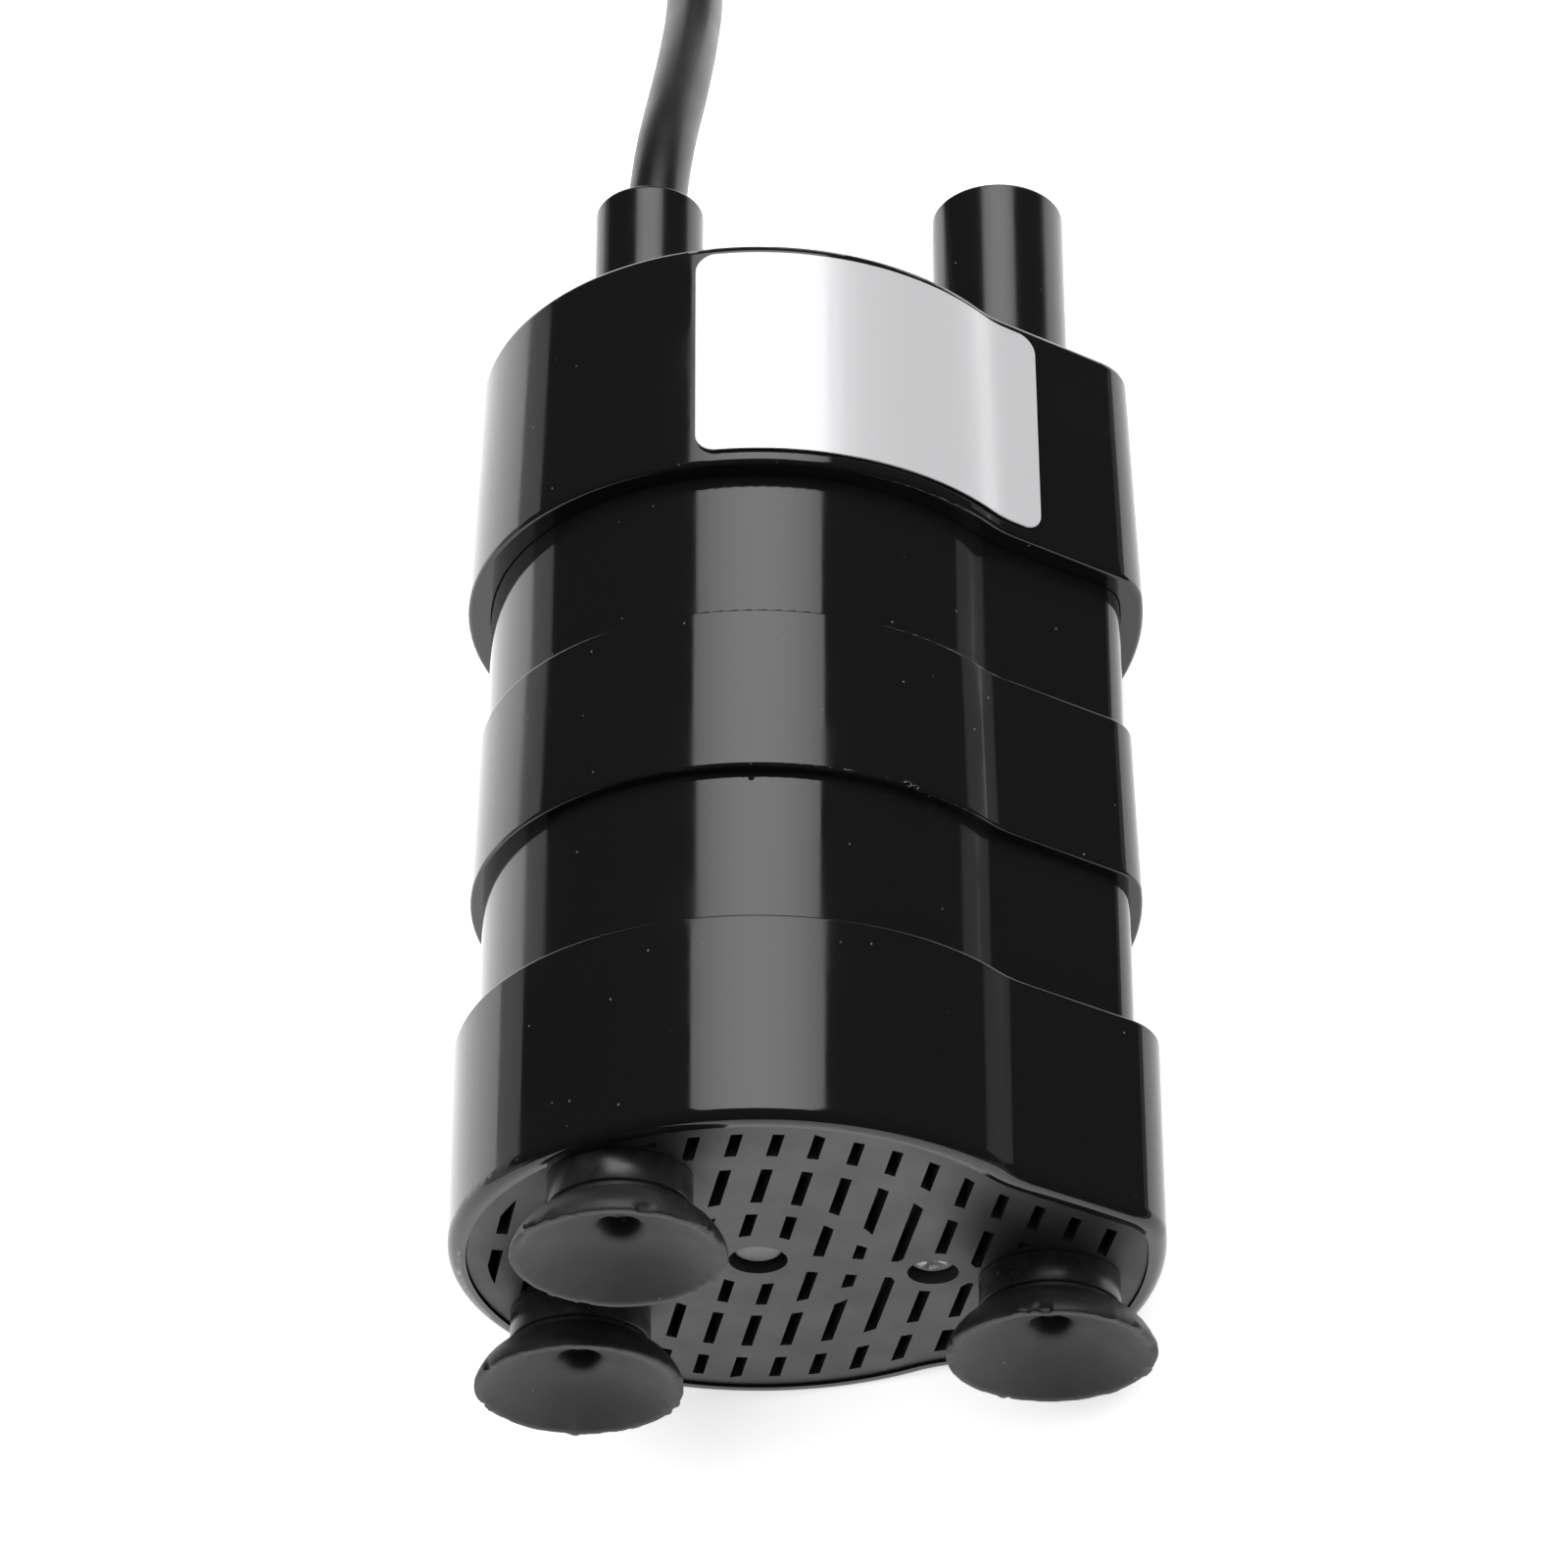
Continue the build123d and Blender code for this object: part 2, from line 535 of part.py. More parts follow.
def field_magnet(side):
    """Curved ferrite magnet glued inside the can."""
    outer = MOTOR_RADIUS - CAN_WALL - SLIP
    low, high = Z_MOTOR_LOW + MAGNET_FRONT, Z_MOTOR_TOP - MAGNET_REAR
    whole = ring(outer, outer - MAGNET_THICKNESS, low, high)
    half = Pos(side * outer, 0, (low + high) / 2) * Box(2 * outer, 1.55 * outer, high - low)
    return whole & half & (Pos(side * (outer / 2 + 5), 0, (low + high) / 2) * Box(outer, 60, 60))


def armature_core():
    """Laminated rotor with five winding slots."""
    radius = MOTOR_RADIUS - CAN_WALL - SLIP - MAGNET_THICKNESS - AIR_GAP
    low, high = Z_MOTOR_LOW + CORE_FRONT, Z_MOTOR_TOP - CORE_REAR
    core = rod(radius, low, high)
    for k in range(CORE_SLOTS):
        slot = rod(SLOT_RADIUS, low - 1, high + 1, radius - 4.2)
        slot += Pos(radius, 0, (low + high) / 2) * Box(5, SLOT_MOUTH, high - low + 2)
        core -= Rot(0, 0, 360 * k / CORE_SLOTS) * slot
    return core - rod(SHAFT_RADIUS + RUNNING, 0, Z_ROOF)


def armature_windings():
    """End turns of the copper coils, as a ring at each end of the core."""
    low, high = Z_MOTOR_LOW + CORE_FRONT, Z_MOTOR_TOP - CORE_REAR
    radius = MOTOR_RADIUS - CAN_WALL - MAGNET_THICKNESS - 3.2
    rings = []
    for start, end in ((low - WINDING_LENGTH, low), (high, high + WINDING_LENGTH)):
        coil = ring(radius, SHAFT_RADIUS + 1.4, start, end)
        outer_level = start if end == low else end
        rings.append(fillet(edges_at(coil, outer_level), 0.9))
    return Compound(children=rings)


def commutator():
    low, high = Z_MOTOR_TOP - COMMUTATOR_FRONT, Z_MOTOR_TOP - COMMUTATOR_REAR
    segments = ring(COMMUTATOR_RADIUS, SHAFT_RADIUS + RUNNING, low, high)
    for k in range(CORE_SLOTS):
        groove = Pos(COMMUTATOR_RADIUS, 0, (low + high) / 2) * Box(1.2, 0.4, 8)
        segments -= Rot(0, 0, 360 * (k + 0.5) / CORE_SLOTS) * groove
    return segments


def rotor_shaft():
    shaft = rod(SHAFT_RADIUS, Z_CHAMBER_LOW + 1, Z_MOTOR_TOP - 0.5)
    shaft = chamfer(edges_at(shaft, Z_CHAMBER_LOW + 1), 0.3)
    return shaft


def band_collar():
    """Joining ring that both tubes are glued into."""
    band = tapered(BAND_STEP_LOW, BAND_STEP_TOP, Z_BAND_LOW, Z_BAND_TOP)
    for level in (Z_BAND_LOW, Z_BAND_TOP):
        band = fillet(edges_at(band, level), EDGE_ROUND)
    return band - slab(-SPIGOT_STEP, Z_BAND_LOW - 1, Z_BAND_TOP + 1)


def upper_tube():
    tube = slab(0, Z_BAND_TOP, Z_TUBE_TOP)
    tube += slab(-SPIGOT_STEP - SLIP, Z_BAND_TOP - SPIGOT, Z_BAND_TOP)
    return tube - slab(-WALL, Z_BAND_TOP - SPIGOT - 1, Z_TUBE_TOP + 1)


def cap_gasket():
    low = Z_TUBE_TOP
    return slab(-SLIP, low, low + 1) - slab(-WALL + SLIP, low - 1, low + 2)


def cap_outside(grow):
    """Outer form of the cap, moved out by grow."""
    return tapered(CAP_STEP_LOW + grow, CAP_STEP_TOP + grow, Z_CAP_LOW, Z_CAP_TOP)


def top_cap():
    cap = cap_outside(0)
    cap = fillet(edges_at(cap, Z_CAP_TOP), CAP_ROUND)
    cap = fillet(edges_at(cap, Z_CAP_LOW), 0.45)
    cap -= slab(SLIP, Z_CAP_LOW - 1, Z_TUBE_TOP + 1)
    cap -= slab(-0.8, Z_TUBE_TOP, Z_ROOF)
    cap -= rod(RISER_FOOT_RADIUS + RUNNING, Z_TUBE_TOP, Z_CAP_TOP + 1, RISER_X)
    cap -= rod(GLAND_RADIUS + RUNNING, Z_TUBE_TOP, Z_CAP_TOP + 1, GLAND_X)
    return cap


def rating_label():
    """Thin wrapped label on the front of the cap."""
    low, high = Z_CAP_LOW + LABEL_MARGIN_LOW, Z_CAP_TOP - LABEL_MARGIN_TOP
    width = LABEL_RIGHT - LABEL_LEFT
    middle = ((LABEL_LEFT + LABEL_RIGHT) / 2, (low + high) / 2)
    card = Pos(*middle) * RectangleRounded(width, high - low, LABEL_CORNER)
    window = extrude(Plane.XZ * card, 2 * NOSE_RADIUS)
    return (cap_outside(LABEL_THICKNESS + LABEL_GLUE) - cap_outside(LABEL_GLUE)) & window


def outlet_tube():
    """Riser from the pump chamber, through the cap, to the hose outlet."""
    taper_low = Z_CAP_TOP + RISER_FOOT_HEIGHT - RISER_TAPER
    tube = rod(RISER_RADIUS, Z_MOTOR_LOW - RISER_SOCKET, Z_OUTLET_TOP, RISER_X)
    tube += rod(RISER_FOOT_RADIUS, Z_ROOF, taper_low, RISER_X)
    taper = Cone(RISER_FOOT_RADIUS, RISER_RADIUS, RISER_TAPER)
    tube += Pos(RISER_X, 0, taper_low + RISER_TAPER / 2) * taper
    tube = fillet(edges_at(tube, Z_OUTLET_TOP), 0.5)
    return tube - rod(RISER_BORE_RADIUS, 0, Z_OUTLET_TOP + 1, RISER_X)


def lower_riser_seal():
    outer, inner = RISER_RADIUS - 0.2, RISER_BORE_RADIUS + 0.2
    high = Z_MOTOR_LOW - RISER_SOCKET
    return ring(outer, inner, high - SEAL_THICKNESS, high, RISER_X)


def upper_riser_seal():
    section = 1.4
    middle = RISER_RADIUS + RUNNING + section / 2
    return Pos(RISER_X, 0, Z_ROOF - section / 2 - 0.02) * Torus(middle, section / 2)


def cable_gland():
    gland = rod(GLAND_RADIUS, Z_ROOF, Z_GLAND_TOP, GLAND_X)
    gland = fillet(edges_at(gland, Z_GLAND_TOP), 0.6)
    gland += rod(GLAND_FLANGE_RADIUS, Z_ROOF - GLAND_FLANGE, Z_ROOF, GLAND_X)
    return gland - rod(GLAND_BORE_RADIUS, 0, Z_GLAND_TOP + 1, GLAND_X)


def cable_seal():
    return rod(GLAND_BORE_RADIUS - RUNNING, Z_ROOF - GLAND_FLANGE, Z_SEAL_TOP, GLAND_X)


def supply_lead(side):
    """Insulated wire from a motor terminal to the cable seal."""
    start = (side * TERMINAL_DISTANCE, 0, Z_MOTOR_TOP + 5.5)
    end = (GLAND_X + side * LEAD_SPREAD, 0, Z_ROOF - GLAND_FLANGE)
    level = start[2] + (end[2] - start[2]) / 3
    if side > 0:
        points = [start, (start[0], 0, level), (end[0], 0, level + 3), end]
    else:
        points = [start, (start[0], 0, start[2] + 1), (end[0], 0, level + 1), end]
    return swept_tube(Polyline(*points), LEAD_RADIUS)


def swept_tube(path, radius):
    """Round tube along a path of runs and arcs."""
    section = Plane(origin=path @ 0, z_dir=path % 0) * Circle(radius)
    return sweep(section, path=path, transition=Transition.ROUND)


def cord_path(points):
    """Straight runs joined by tangent arcs, each as large as its shorter run allows."""
    points = [Vector(*point) for point in points]
    radii = []
    for before, corner, after in zip(points, points[1:], points[2:]):
        turn = radians((corner - before).get_angle(after - corner))
        shorter = min((corner - before).length, (after - corner).length)
        radii.append(0.45 * shorter / tan(turn / 2))
    print("cord arc radii", [round(radius, 1) for radius in radii])
    return FilletPolyline(*points, radius=radii)


def cord_tube(points):
    path = cord_path(points)
    tube = swept_tube(path, CORD_RADIUS)
    print("tube volume over section times length", tube.volume / (pi * CORD_RADIUS**2 * path.length))
    return tube


def hank_slab(half_width, low, high):
    """Slab with straight sides and round ends about the hank's middle line."""
    middle = (HANK_LEFT + HANK_HALF_WIDTH, HANK_NEAR + HANK_RUN / 2)
    face = Pos(*middle, low) * Rot(0, 0, 90) * SlotCenterToCenter(HANK_RUN, 2 * half_width)
    return extrude(face, high - low)


def cable_coil():
    """Outer form of the tied hank: two layers of long turns."""
    low, high = HANK_LIFT, HANK_LIFT + 4 * CORD_RADIUS
    inner = HANK_HALF_WIDTH - (HANK_ROWS - 1) * HANK_PITCH - CORD_RADIUS
    hank = hank_slab(HANK_HALF_WIDTH + CORD_RADIUS, low, high)
    hank = fillet(edges_at(hank, low) + edges_at(hank, high), CORD_RADIUS - 0.05)
    return hank - hank_slab(inner, low - 1, high + 1)


def cable_tie():
    """Flat strap round the middle of the hank."""
    half = HANK_HALF_WIDTH + CORD_RADIUS + SLIP
    low, high = HANK_LIFT - SLIP, HANK_LIFT + 4 * CORD_RADIUS + SLIP
    hole = Box(2 * half, 2 * TIE_WIDTH, high - low)
    strap = Box(2 * (half + TIE_THICKNESS), TIE_WIDTH, high - low + 2 * TIE_THICKNESS)
    x, y = HANK_LEFT + HANK_HALF_WIDTH, HANK_NEAR + HANK_RUN / 2
    return Pos(x, y, (low + high) / 2) * (strap - hole)


def plug_axis(solid):
    """Puts a piece modelled along +Z from the cord's end on the cord's last run."""
    end = Vector(*TAIL_ROUTE[-1])
    return Pos(end.X, end.Y, PLUG_RADIUS + 0.1) * Rot(-90, 0, 0) * solid


def plug_body():
    """Moulded plug with a ribbed strain relief."""
    taper = Pos(0, 0, RELIEF_LENGTH / 2) * Cone(CORD_RADIUS + 0.5, PLUG_RADIUS - 0.8, RELIEF_LENGTH)
    grip = rod(PLUG_RADIUS, RELIEF_LENGTH, RELIEF_LENGTH + PLUG_LENGTH)
    grip = fillet(grip.edges().filter_by(GeomType.CIRCLE), 0.9)
    for k in range(4):
        level = RELIEF_LENGTH * (0.3 + 0.17 * k)
        taper -= ring(PLUG_RADIUS + 1, CORD_RADIUS + 0.1, level, level + 1.1)
    return plug_axis(taper + grip)


def plug_barrel():
    low = RELIEF_LENGTH + PLUG_LENGTH
    barrel = rod(BARREL_RADIUS, low, low + BARREL_LENGTH)
    barrel = chamfer(edges_at(barrel, low + BARREL_LENGTH), 0.3)
    return plug_axis(barrel - rod(BARREL_BORE_RADIUS, low + 1, low + BARREL_LENGTH + 1))


def upright_pieces():
    """All pieces of the pump, by node name."""
    pieces = {
        "base_cup": base_cup(),
        "strainer_plate": strainer_plate(),
        "strainer_screw": strainer_screw(),
        "foam_pad": foam_pad(),
        "pump_cover": pump_cover(),
        "cover_screws": cover_screws(),
        "chamber_gasket": chamber_gasket(),
        "lower_tube": lower_tube(),
        "impeller": impeller(),
        "rotor_shaft": rotor_shaft(),
        "shaft_seal": shaft_seal(),
        "motor_screws": motor_screws(),
        "motor_can": motor_can(),
        "front_bush": bush(Z_MOTOR_LOW),
        "rear_bush": bush(Z_MOTOR_TOP - BUSH_LENGTH),
        "armature_core": armature_core(),
        "armature_windings": armature_windings(),
        "commutator": commutator(),
        "end_bell": end_bell(),
        "motor_terminals": motor_terminals(),
        "band_collar": band_collar(),
        "upper_tube": upper_tube(),
        "cap_gasket": cap_gasket(),
        "top_cap": top_cap(),
        "rating_label": rating_label(),
        "outlet_tube": outlet_tube(),
        "lower_riser_seal": lower_riser_seal(),
        "upper_riser_seal": upper_riser_seal(),
        "cable_gland": cable_gland(),
        "cable_seal": cable_seal(),
    }
    for number, (x, y) in enumerate(CUP_CENTRES, 1):
        pieces[f"suction_cup_{number}"] = suction_cup(x, y)
    for number, side in enumerate((-1, 1), 1):
        pieces[f"field_magnet_{number}"] = field_magnet(side)
        pieces[f"brush_{number}"] = brush(side)
        pieces[f"supply_lead_{number}"] = supply_lead(side)
    return pieces


def lay_down(pieces):
    """Lays the pump on its back and puts the origin under the middle of its box."""
    cx, cy = corner_centre()
    lobe, corner = LOBE_RADIUS + BASE_STEP, CORNER_RADIUS + BASE_STEP
    down = atan2(cy, cx) + acos((lobe - corner) / hypot(cx, cy))
    x_dir = (sin(down), 0, -cos(down))
    back = Plane(origin=(0, 0, lobe), x_dir=x_dir, z_dir=(0, 1, 0)).location
    laid = {name: back * piece for name, piece in pieces.items()}
    boxes = [piece.bounding_box() for piece in laid.values()]
    x_mid = (min(box.min.X for box in boxes) + max(box.max.X for box in boxes)) / 2
    y_mid = (min(box.min.Y for box in boxes) + max(box.max.Y for box in boxes)) / 2
    print("down direction", degrees(down), "shift", -x_mid, -y_mid)
    return {name: Pos(-x_mid, -y_mid, 0) * piece for name, piece in laid.items()}


pieces = lay_down(upright_pieces())
pieces["power_cable"] = cord_tube(CORD_ROUTE)
pieces["cable_coil"] = cable_coil()
pieces["cable_tail"] = cord_tube(TAIL_ROUTE)
pieces["cable_tie"] = cable_tie()
pieces["plug_body"] = plug_body()
pieces["plug_barrel"] = plug_barrel()

os.makedirs("parts", exist_ok=True)
for name, piece in pieces.items():
    export_step(piece, f"parts/{name}.step")
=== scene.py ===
"""Submersible pump filter lying on its back on a white table, with its cord.

The CAD nodes are the frame. What is made here: the cord with its hank, the suction cups, the
label film, the foam pad, the mould flash on the band, and every material.
"""
import json
import random
from math import cos, pi, radians, sin

import bmesh
import bpy
from mathutils import Matrix, Vector


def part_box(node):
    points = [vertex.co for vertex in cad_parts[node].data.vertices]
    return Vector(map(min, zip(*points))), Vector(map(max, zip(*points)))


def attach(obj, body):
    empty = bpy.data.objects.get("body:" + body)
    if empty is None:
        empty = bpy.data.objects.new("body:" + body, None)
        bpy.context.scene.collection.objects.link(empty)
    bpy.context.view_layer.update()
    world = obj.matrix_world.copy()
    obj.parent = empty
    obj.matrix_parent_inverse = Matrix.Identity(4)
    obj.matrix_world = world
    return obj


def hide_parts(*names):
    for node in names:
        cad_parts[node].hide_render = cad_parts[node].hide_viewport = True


MM = 0.001
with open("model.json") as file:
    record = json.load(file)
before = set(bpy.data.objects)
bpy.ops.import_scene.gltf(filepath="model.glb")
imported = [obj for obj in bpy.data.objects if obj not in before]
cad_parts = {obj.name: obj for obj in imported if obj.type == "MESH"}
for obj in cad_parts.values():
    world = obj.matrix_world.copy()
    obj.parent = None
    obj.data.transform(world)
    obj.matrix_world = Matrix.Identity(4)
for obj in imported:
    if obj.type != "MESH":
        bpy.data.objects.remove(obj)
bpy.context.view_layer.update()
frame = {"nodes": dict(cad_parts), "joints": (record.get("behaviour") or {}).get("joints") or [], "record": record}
nodes = frame["nodes"]
mounts = {mount["name"]: mount for mount in frame["record"]["mounts"]}

# ---------------------------------------------------------------- pump's own frame
# +Z runs up the pump axis from the cup lips, +X points at the blunt lobe with the riser.
axis_point = Vector(frame["joints"][0]["pos_m"])
pump_up = Vector(frame["joints"][0]["axis"])
pump_side = Vector(mounts["hose_outlet"]["pos_m"]) - axis_point
pump_side -= pump_up * pump_side.dot(pump_up)
pump_side.normalize()
pump_back = pump_up.cross(pump_side)
cup_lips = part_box("suction_cup_1")[0].y
pump_base = axis_point + pump_up * (cup_lips - axis_point.y)


def pump_point(x, y, z):
    """Point given in the pump's own frame, in millimetres."""
    return pump_base + (pump_side * x + pump_back * y + pump_up * z) * MM


def pump_turn(x, y, z):
    """Direction given in the pump's own frame."""
    return pump_side * x + pump_back * y + pump_up * z


def placed(name, data):
    """Puts a new object with this data in the scene."""
    made = bpy.data.objects.new(name, data)
    bpy.context.scene.collection.objects.link(made)
    return made


# ---------------------------------------------------------------- camera
CAMERA_AT = (-75.31, -491.34, -238.08)   # pump's frame, mm
CAMERA_YAW = radians(9.0)                # round the pump axis from the label side
CAMERA_TILT = radians(31.06)             # looking up the pump axis by this much
LENS, SENSOR = 132.75, 36.0
NEAREST, FARTHEST = 0.01, 50.0           # m from the camera


def make_camera():
    data = bpy.data.cameras.new("camera")
    data.lens, data.sensor_width = LENS, SENSOR
    data.clip_start, data.clip_end = NEAREST, FARTHEST
    camera = placed("camera", data)
    level = cos(CAMERA_TILT)
    look = pump_turn(sin(CAMERA_YAW) * level, cos(CAMERA_YAW) * level, sin(CAMERA_TILT))
    right = pump_turn(cos(CAMERA_YAW), -sin(CAMERA_YAW), 0)
    turn = Matrix((right, right.cross(look), -look)).transposed().to_4x4()
    camera.matrix_world = Matrix.Translation(pump_point(*CAMERA_AT)) @ turn
    bpy.context.scene.camera = camera


# ---------------------------------------------------------------- materials
def linear(colour):
    """sRGB hex to linear RGBA."""
    parts = [int(colour[i:i + 2], 16) / 255 for i in (1, 3, 5)]
    return (*[p / 12.92 if p <= 0.04045 else ((p + 0.055) / 1.055) ** 2.4 for p in parts], 1.0)


def per_mm(size):
    """Texture scale on object coordinates for features of this many millimetres."""
    return 1000.0 / size


def add(tree, kind, inputs=None, **settings):
    """Adds one node. Each input is a value, or an output socket to link from."""
    node = tree.nodes.new(kind)
    for key, value in settings.items():
        setattr(node, key, value)
    for key, value in (inputs or {}).items():
        if isinstance(value, bpy.types.NodeSocket):
            tree.links.new(value, node.inputs[key])
        else:
            node.inputs[key].default_value = value
    return node


def start_material(name, colour, roughness, ior=1.5, metallic=0.0):
    """Principled material with its plain values set. Returns it, its tree, shader and place."""
    made = bpy.data.materials.new(name)
    made.use_nodes = True
    tree = made.node_tree
    shader = tree.nodes["Principled BSDF"]
    shader.inputs["Base Color"].default_value = linear(colour)
    shader.inputs["Roughness"].default_value = roughness
    shader.inputs["IOR"].default_value = ior
    shader.inputs["Metallic"].default_value = metallic
    place = add(tree, "ShaderNodeTexCoord").outputs["Object"]
    return made, tree, shader, place


def uneven_gloss(tree, shader, place, size, smoothest, dullest):
    """Lets the roughness wander between two values in cloudy patches of this many millimetres."""
    patches = add(tree, "ShaderNodeTexNoise", {
        "Vector": place, "Scale": per_mm(size), "Detail": 4.0, "Roughness": 0.55,
    }).outputs["Fac"]
    rough = add(tree, "ShaderNodeMapRange", {
        "Value": patches, "From Min": 0.3, "From Max": 0.7, "To Min": smoothest, "To Max": dullest,
    }).outputs["Result"]
    tree.links.new(rough, shader.inputs["Roughness"])


def grain(tree, shader, place, size, depth, strength, detail=4.0, harshness=0.55, over=None):
    """Raises a random grain of this size and depth in millimetres, over a coarser one if given."""
    heights = add(tree, "ShaderNodeTexNoise", {
        "Vector": place, "Scale": per_mm(size), "Detail": detail, "Roughness": harshness,
    }).outputs["Fac"]
    inputs = {"Height": heights, "Distance": depth * MM, "Strength": strength}
    if over:
        inputs["Normal"] = over
    raised = add(tree, "ShaderNodeBump", inputs).outputs["Normal"]
    tree.links.new(raised, shader.inputs["Normal"])
    return raised


def dust_mask(tree, place, cell_mm, share, radius):
    """1 on small specks: in this share of cells, within this part of a cell."""
    cells = add(tree, "ShaderNodeTexVoronoi", {"Vector": place, "Scale": per_mm(cell_mm)})
    chosen = add(tree, "ShaderNodeMath", {0: cells.outputs["Color"], 1: share}, operation="LESS_THAN")
    near = add(tree, "ShaderNodeMapRange", {
        "Value": cells.outputs["Distance"], "From Min": radius, "From Max": radius * 0.5,
        "To Min": 0, "To Max": 1,
    })
    return add(tree, "ShaderNodeMath", {
        0: chosen.outputs[0], 1: near.outputs["Result"]}, operation="MULTIPLY").outputs[0]


SCRATCH_TURN = (0.5, 0.9, 0.4)
SCRATCH_LENGTH, SCRATCH_WIDTH = 22.0, 1.1   # cell of one scratch, mm; the mark fills part of it
SCRATCH_SHARE = 0.05                        # of all cells
SCRATCH_TONE = 0.35                         # against a dust speck's 1


def scratch_mask(tree, place):
    """Faint on a few hair-thin handling scratches, about 10 mm long."""
    cell = (per_mm(SCRATCH_WIDTH), per_mm(SCRATCH_LENGTH), per_mm(SCRATCH_WIDTH))
    turned = add(tree, "ShaderNodeMapping", {
        "Vector": place, "Rotation": SCRATCH_TURN, "Scale": cell,
    }).outputs["Vector"]
    cells = add(tree, "ShaderNodeTexVoronoi", {"Vector": turned, "Scale": 1.0}, feature="F1")
    chosen = add(tree, "ShaderNodeMath", {
        0: cells.outputs["Color"], 1: SCRATCH_SHARE}, operation="LESS_THAN")
    near = add(tree, "ShaderNodeMapRange", {
        "Value": cells.outputs["Distance"], "From Min": 0.05, "From Max": 0.03,
        "To Min": 0, "To Max": SCRATCH_TONE,
    })
    return add(tree, "ShaderNodeMath", {
        0: chosen.outputs[0], 1: near.outputs["Result"]}, operation="MULTIPLY").outputs[0]


DUST_ON_ABS, DUST_ON_RUBBER = "#6e6e6e", "#8a8a88"
DUST_DULLS = 0.5         # roughness that a speck of dust adds


def gloss_abs(name, smooth, dull):
    """ABS, injection moulded in a polished mould: near-mirror black with a faint orange peel,
    handling marks and a few specks of dust. Its roughness runs from smooth to dull in smudges."""
    made, tree, shader, place = start_material(name, "#151516", smooth, ior=1.53)
    smudges = add(tree, "ShaderNodeTexNoise", {
        "Vector": place, "Scale": per_mm(14.0), "Detail": 5.0, "Roughness": 0.6,
    }).outputs["Fac"]
    rough = add(tree, "ShaderNodeMapRange", {
        "Value": smudges, "From Min": 0.35, "From Max": 0.75, "To Min": smooth, "To Max": dull,
    }).outputs["Result"]
    specks = dust_mask(tree, place, 2.4, 0.5, 0.055)
    marks = add(tree, "ShaderNodeMath", {
        0: specks, 1: scratch_mask(tree, place)}, operation="MAXIMUM").outputs[0]
    tone = add(tree, "ShaderNodeMix", {
        "Factor": marks, "A": linear("#151516"), "B": linear(DUST_ON_ABS),
    }, data_type="RGBA")
    tree.links.new(tone.outputs["Result"], shader.inputs["Base Color"])
    dusty = add(tree, "ShaderNodeMath", {0: specks, 1: DUST_DULLS}, operation="MULTIPLY").outputs[0]
    total = add(tree, "ShaderNodeMath", {0: rough, 1: dusty}, operation="ADD").outputs[0]
    tree.links.new(total, shader.inputs["Roughness"])
    peel = grain(tree, shader, place, 5.0, 0.006, 0.5, detail=2.0)
    grain(tree, shader, place, 0.35, 0.002, 0.25, detail=3.0, over=peel)
    return made


def satin_abs():
    """ABS from a spark-eroded mould: a fine even grain that scatters the table's light."""
    made, tree, shader, place = start_material("satin_grained_abs", "#262627", 0.42, ior=1.53)
    uneven_gloss(tree, shader, place, 6.0, 0.36, 0.5)
    grain(tree, shader, place, 0.25, 0.012, 0.4, harshness=0.7)
    return made


CUP_NECK_LOW = 4.95      # neck's lower edge above the lips, mm
NECK_FADE = 0.2          # either side of that edge, mm
NECK_SMOOTHER = -0.24    # change of roughness from the lip to the neck


def cup_rubber():
    """Moulded rubber with a soft, slightly dusty skin: matt at the lips, half-gloss on the neck."""
    made, tree, shader, place = start_material("moulded_rubber", "#19191a", 0.55, ior=1.52)
    patches = add(tree, "ShaderNodeTexNoise", {
        "Vector": place, "Scale": per_mm(5.0), "Detail": 5.0, "Roughness": 0.65,
    }).outputs["Fac"]
    specks = dust_mask(tree, place, 1.6, 0.3, 0.07)
    bloom = add(tree, "ShaderNodeMapRange", {
        "Value": patches, "From Min": 0.4, "From Max": 0.75, "To Min": 0, "To Max": 1,
    })
    skin = add(tree, "ShaderNodeMix", {
        "Factor": bloom.outputs["Result"], "A": linear("#18181a"), "B": linear("#2b2b2c"),
    }, data_type="RGBA")
    tone = add(tree, "ShaderNodeMix", {
        "Factor": specks, "A": skin.outputs["Result"], "B": linear(DUST_ON_RUBBER),
    }, data_type="RGBA")
    tree.links.new(tone.outputs["Result"], shader.inputs["Base Color"])
    height = add(tree, "ShaderNodeSeparateXYZ", {"Vector": place}).outputs["Y"]
    neck = cup_lips + CUP_NECK_LOW * MM
    satin = add(tree, "ShaderNodeMapRange", {
        "Value": height, "From Min": neck - NECK_FADE * MM, "From Max": neck + NECK_FADE * MM,
        "To Min": 0, "To Max": NECK_SMOOTHER,
    })
    rough = add(tree, "ShaderNodeMapRange", {
        "Value": patches, "From Min": 0.3, "From Max": 0.7, "To Min": 0.46, "To Max": 0.62,
    })
    total = add(tree, "ShaderNodeMath", {
        0: rough.outputs["Result"], 1: satin.outputs["Result"]}, operation="ADD").outputs[0]
    tree.links.new(total, shader.inputs["Roughness"])
    grain(tree, shader, place, 0.5, 0.012, 0.3, harshness=0.6)
    return made


def cable_rubber():
    """Extruded rubber sheath: half-matt, with a faintly uneven skin."""
    made, tree, shader, place = start_material("extruded_rubber_sheath", "#101011", 0.34)
    uneven_gloss(tree, shader, place, 9.0, 0.28, 0.4)
    grain(tree, shader, place, 0.4, 0.01, 0.3, detail=3.0)
    return made


def seal_rubber():
    """Moulded seal rubber: dull black with a talc-fine grain."""
    made, tree, shader, place = start_material("moulded_seal_rubber", "#121213", 0.6, ior=1.52)
    grain(tree, shader, place, 0.4, 0.01, 0.3)
    return made


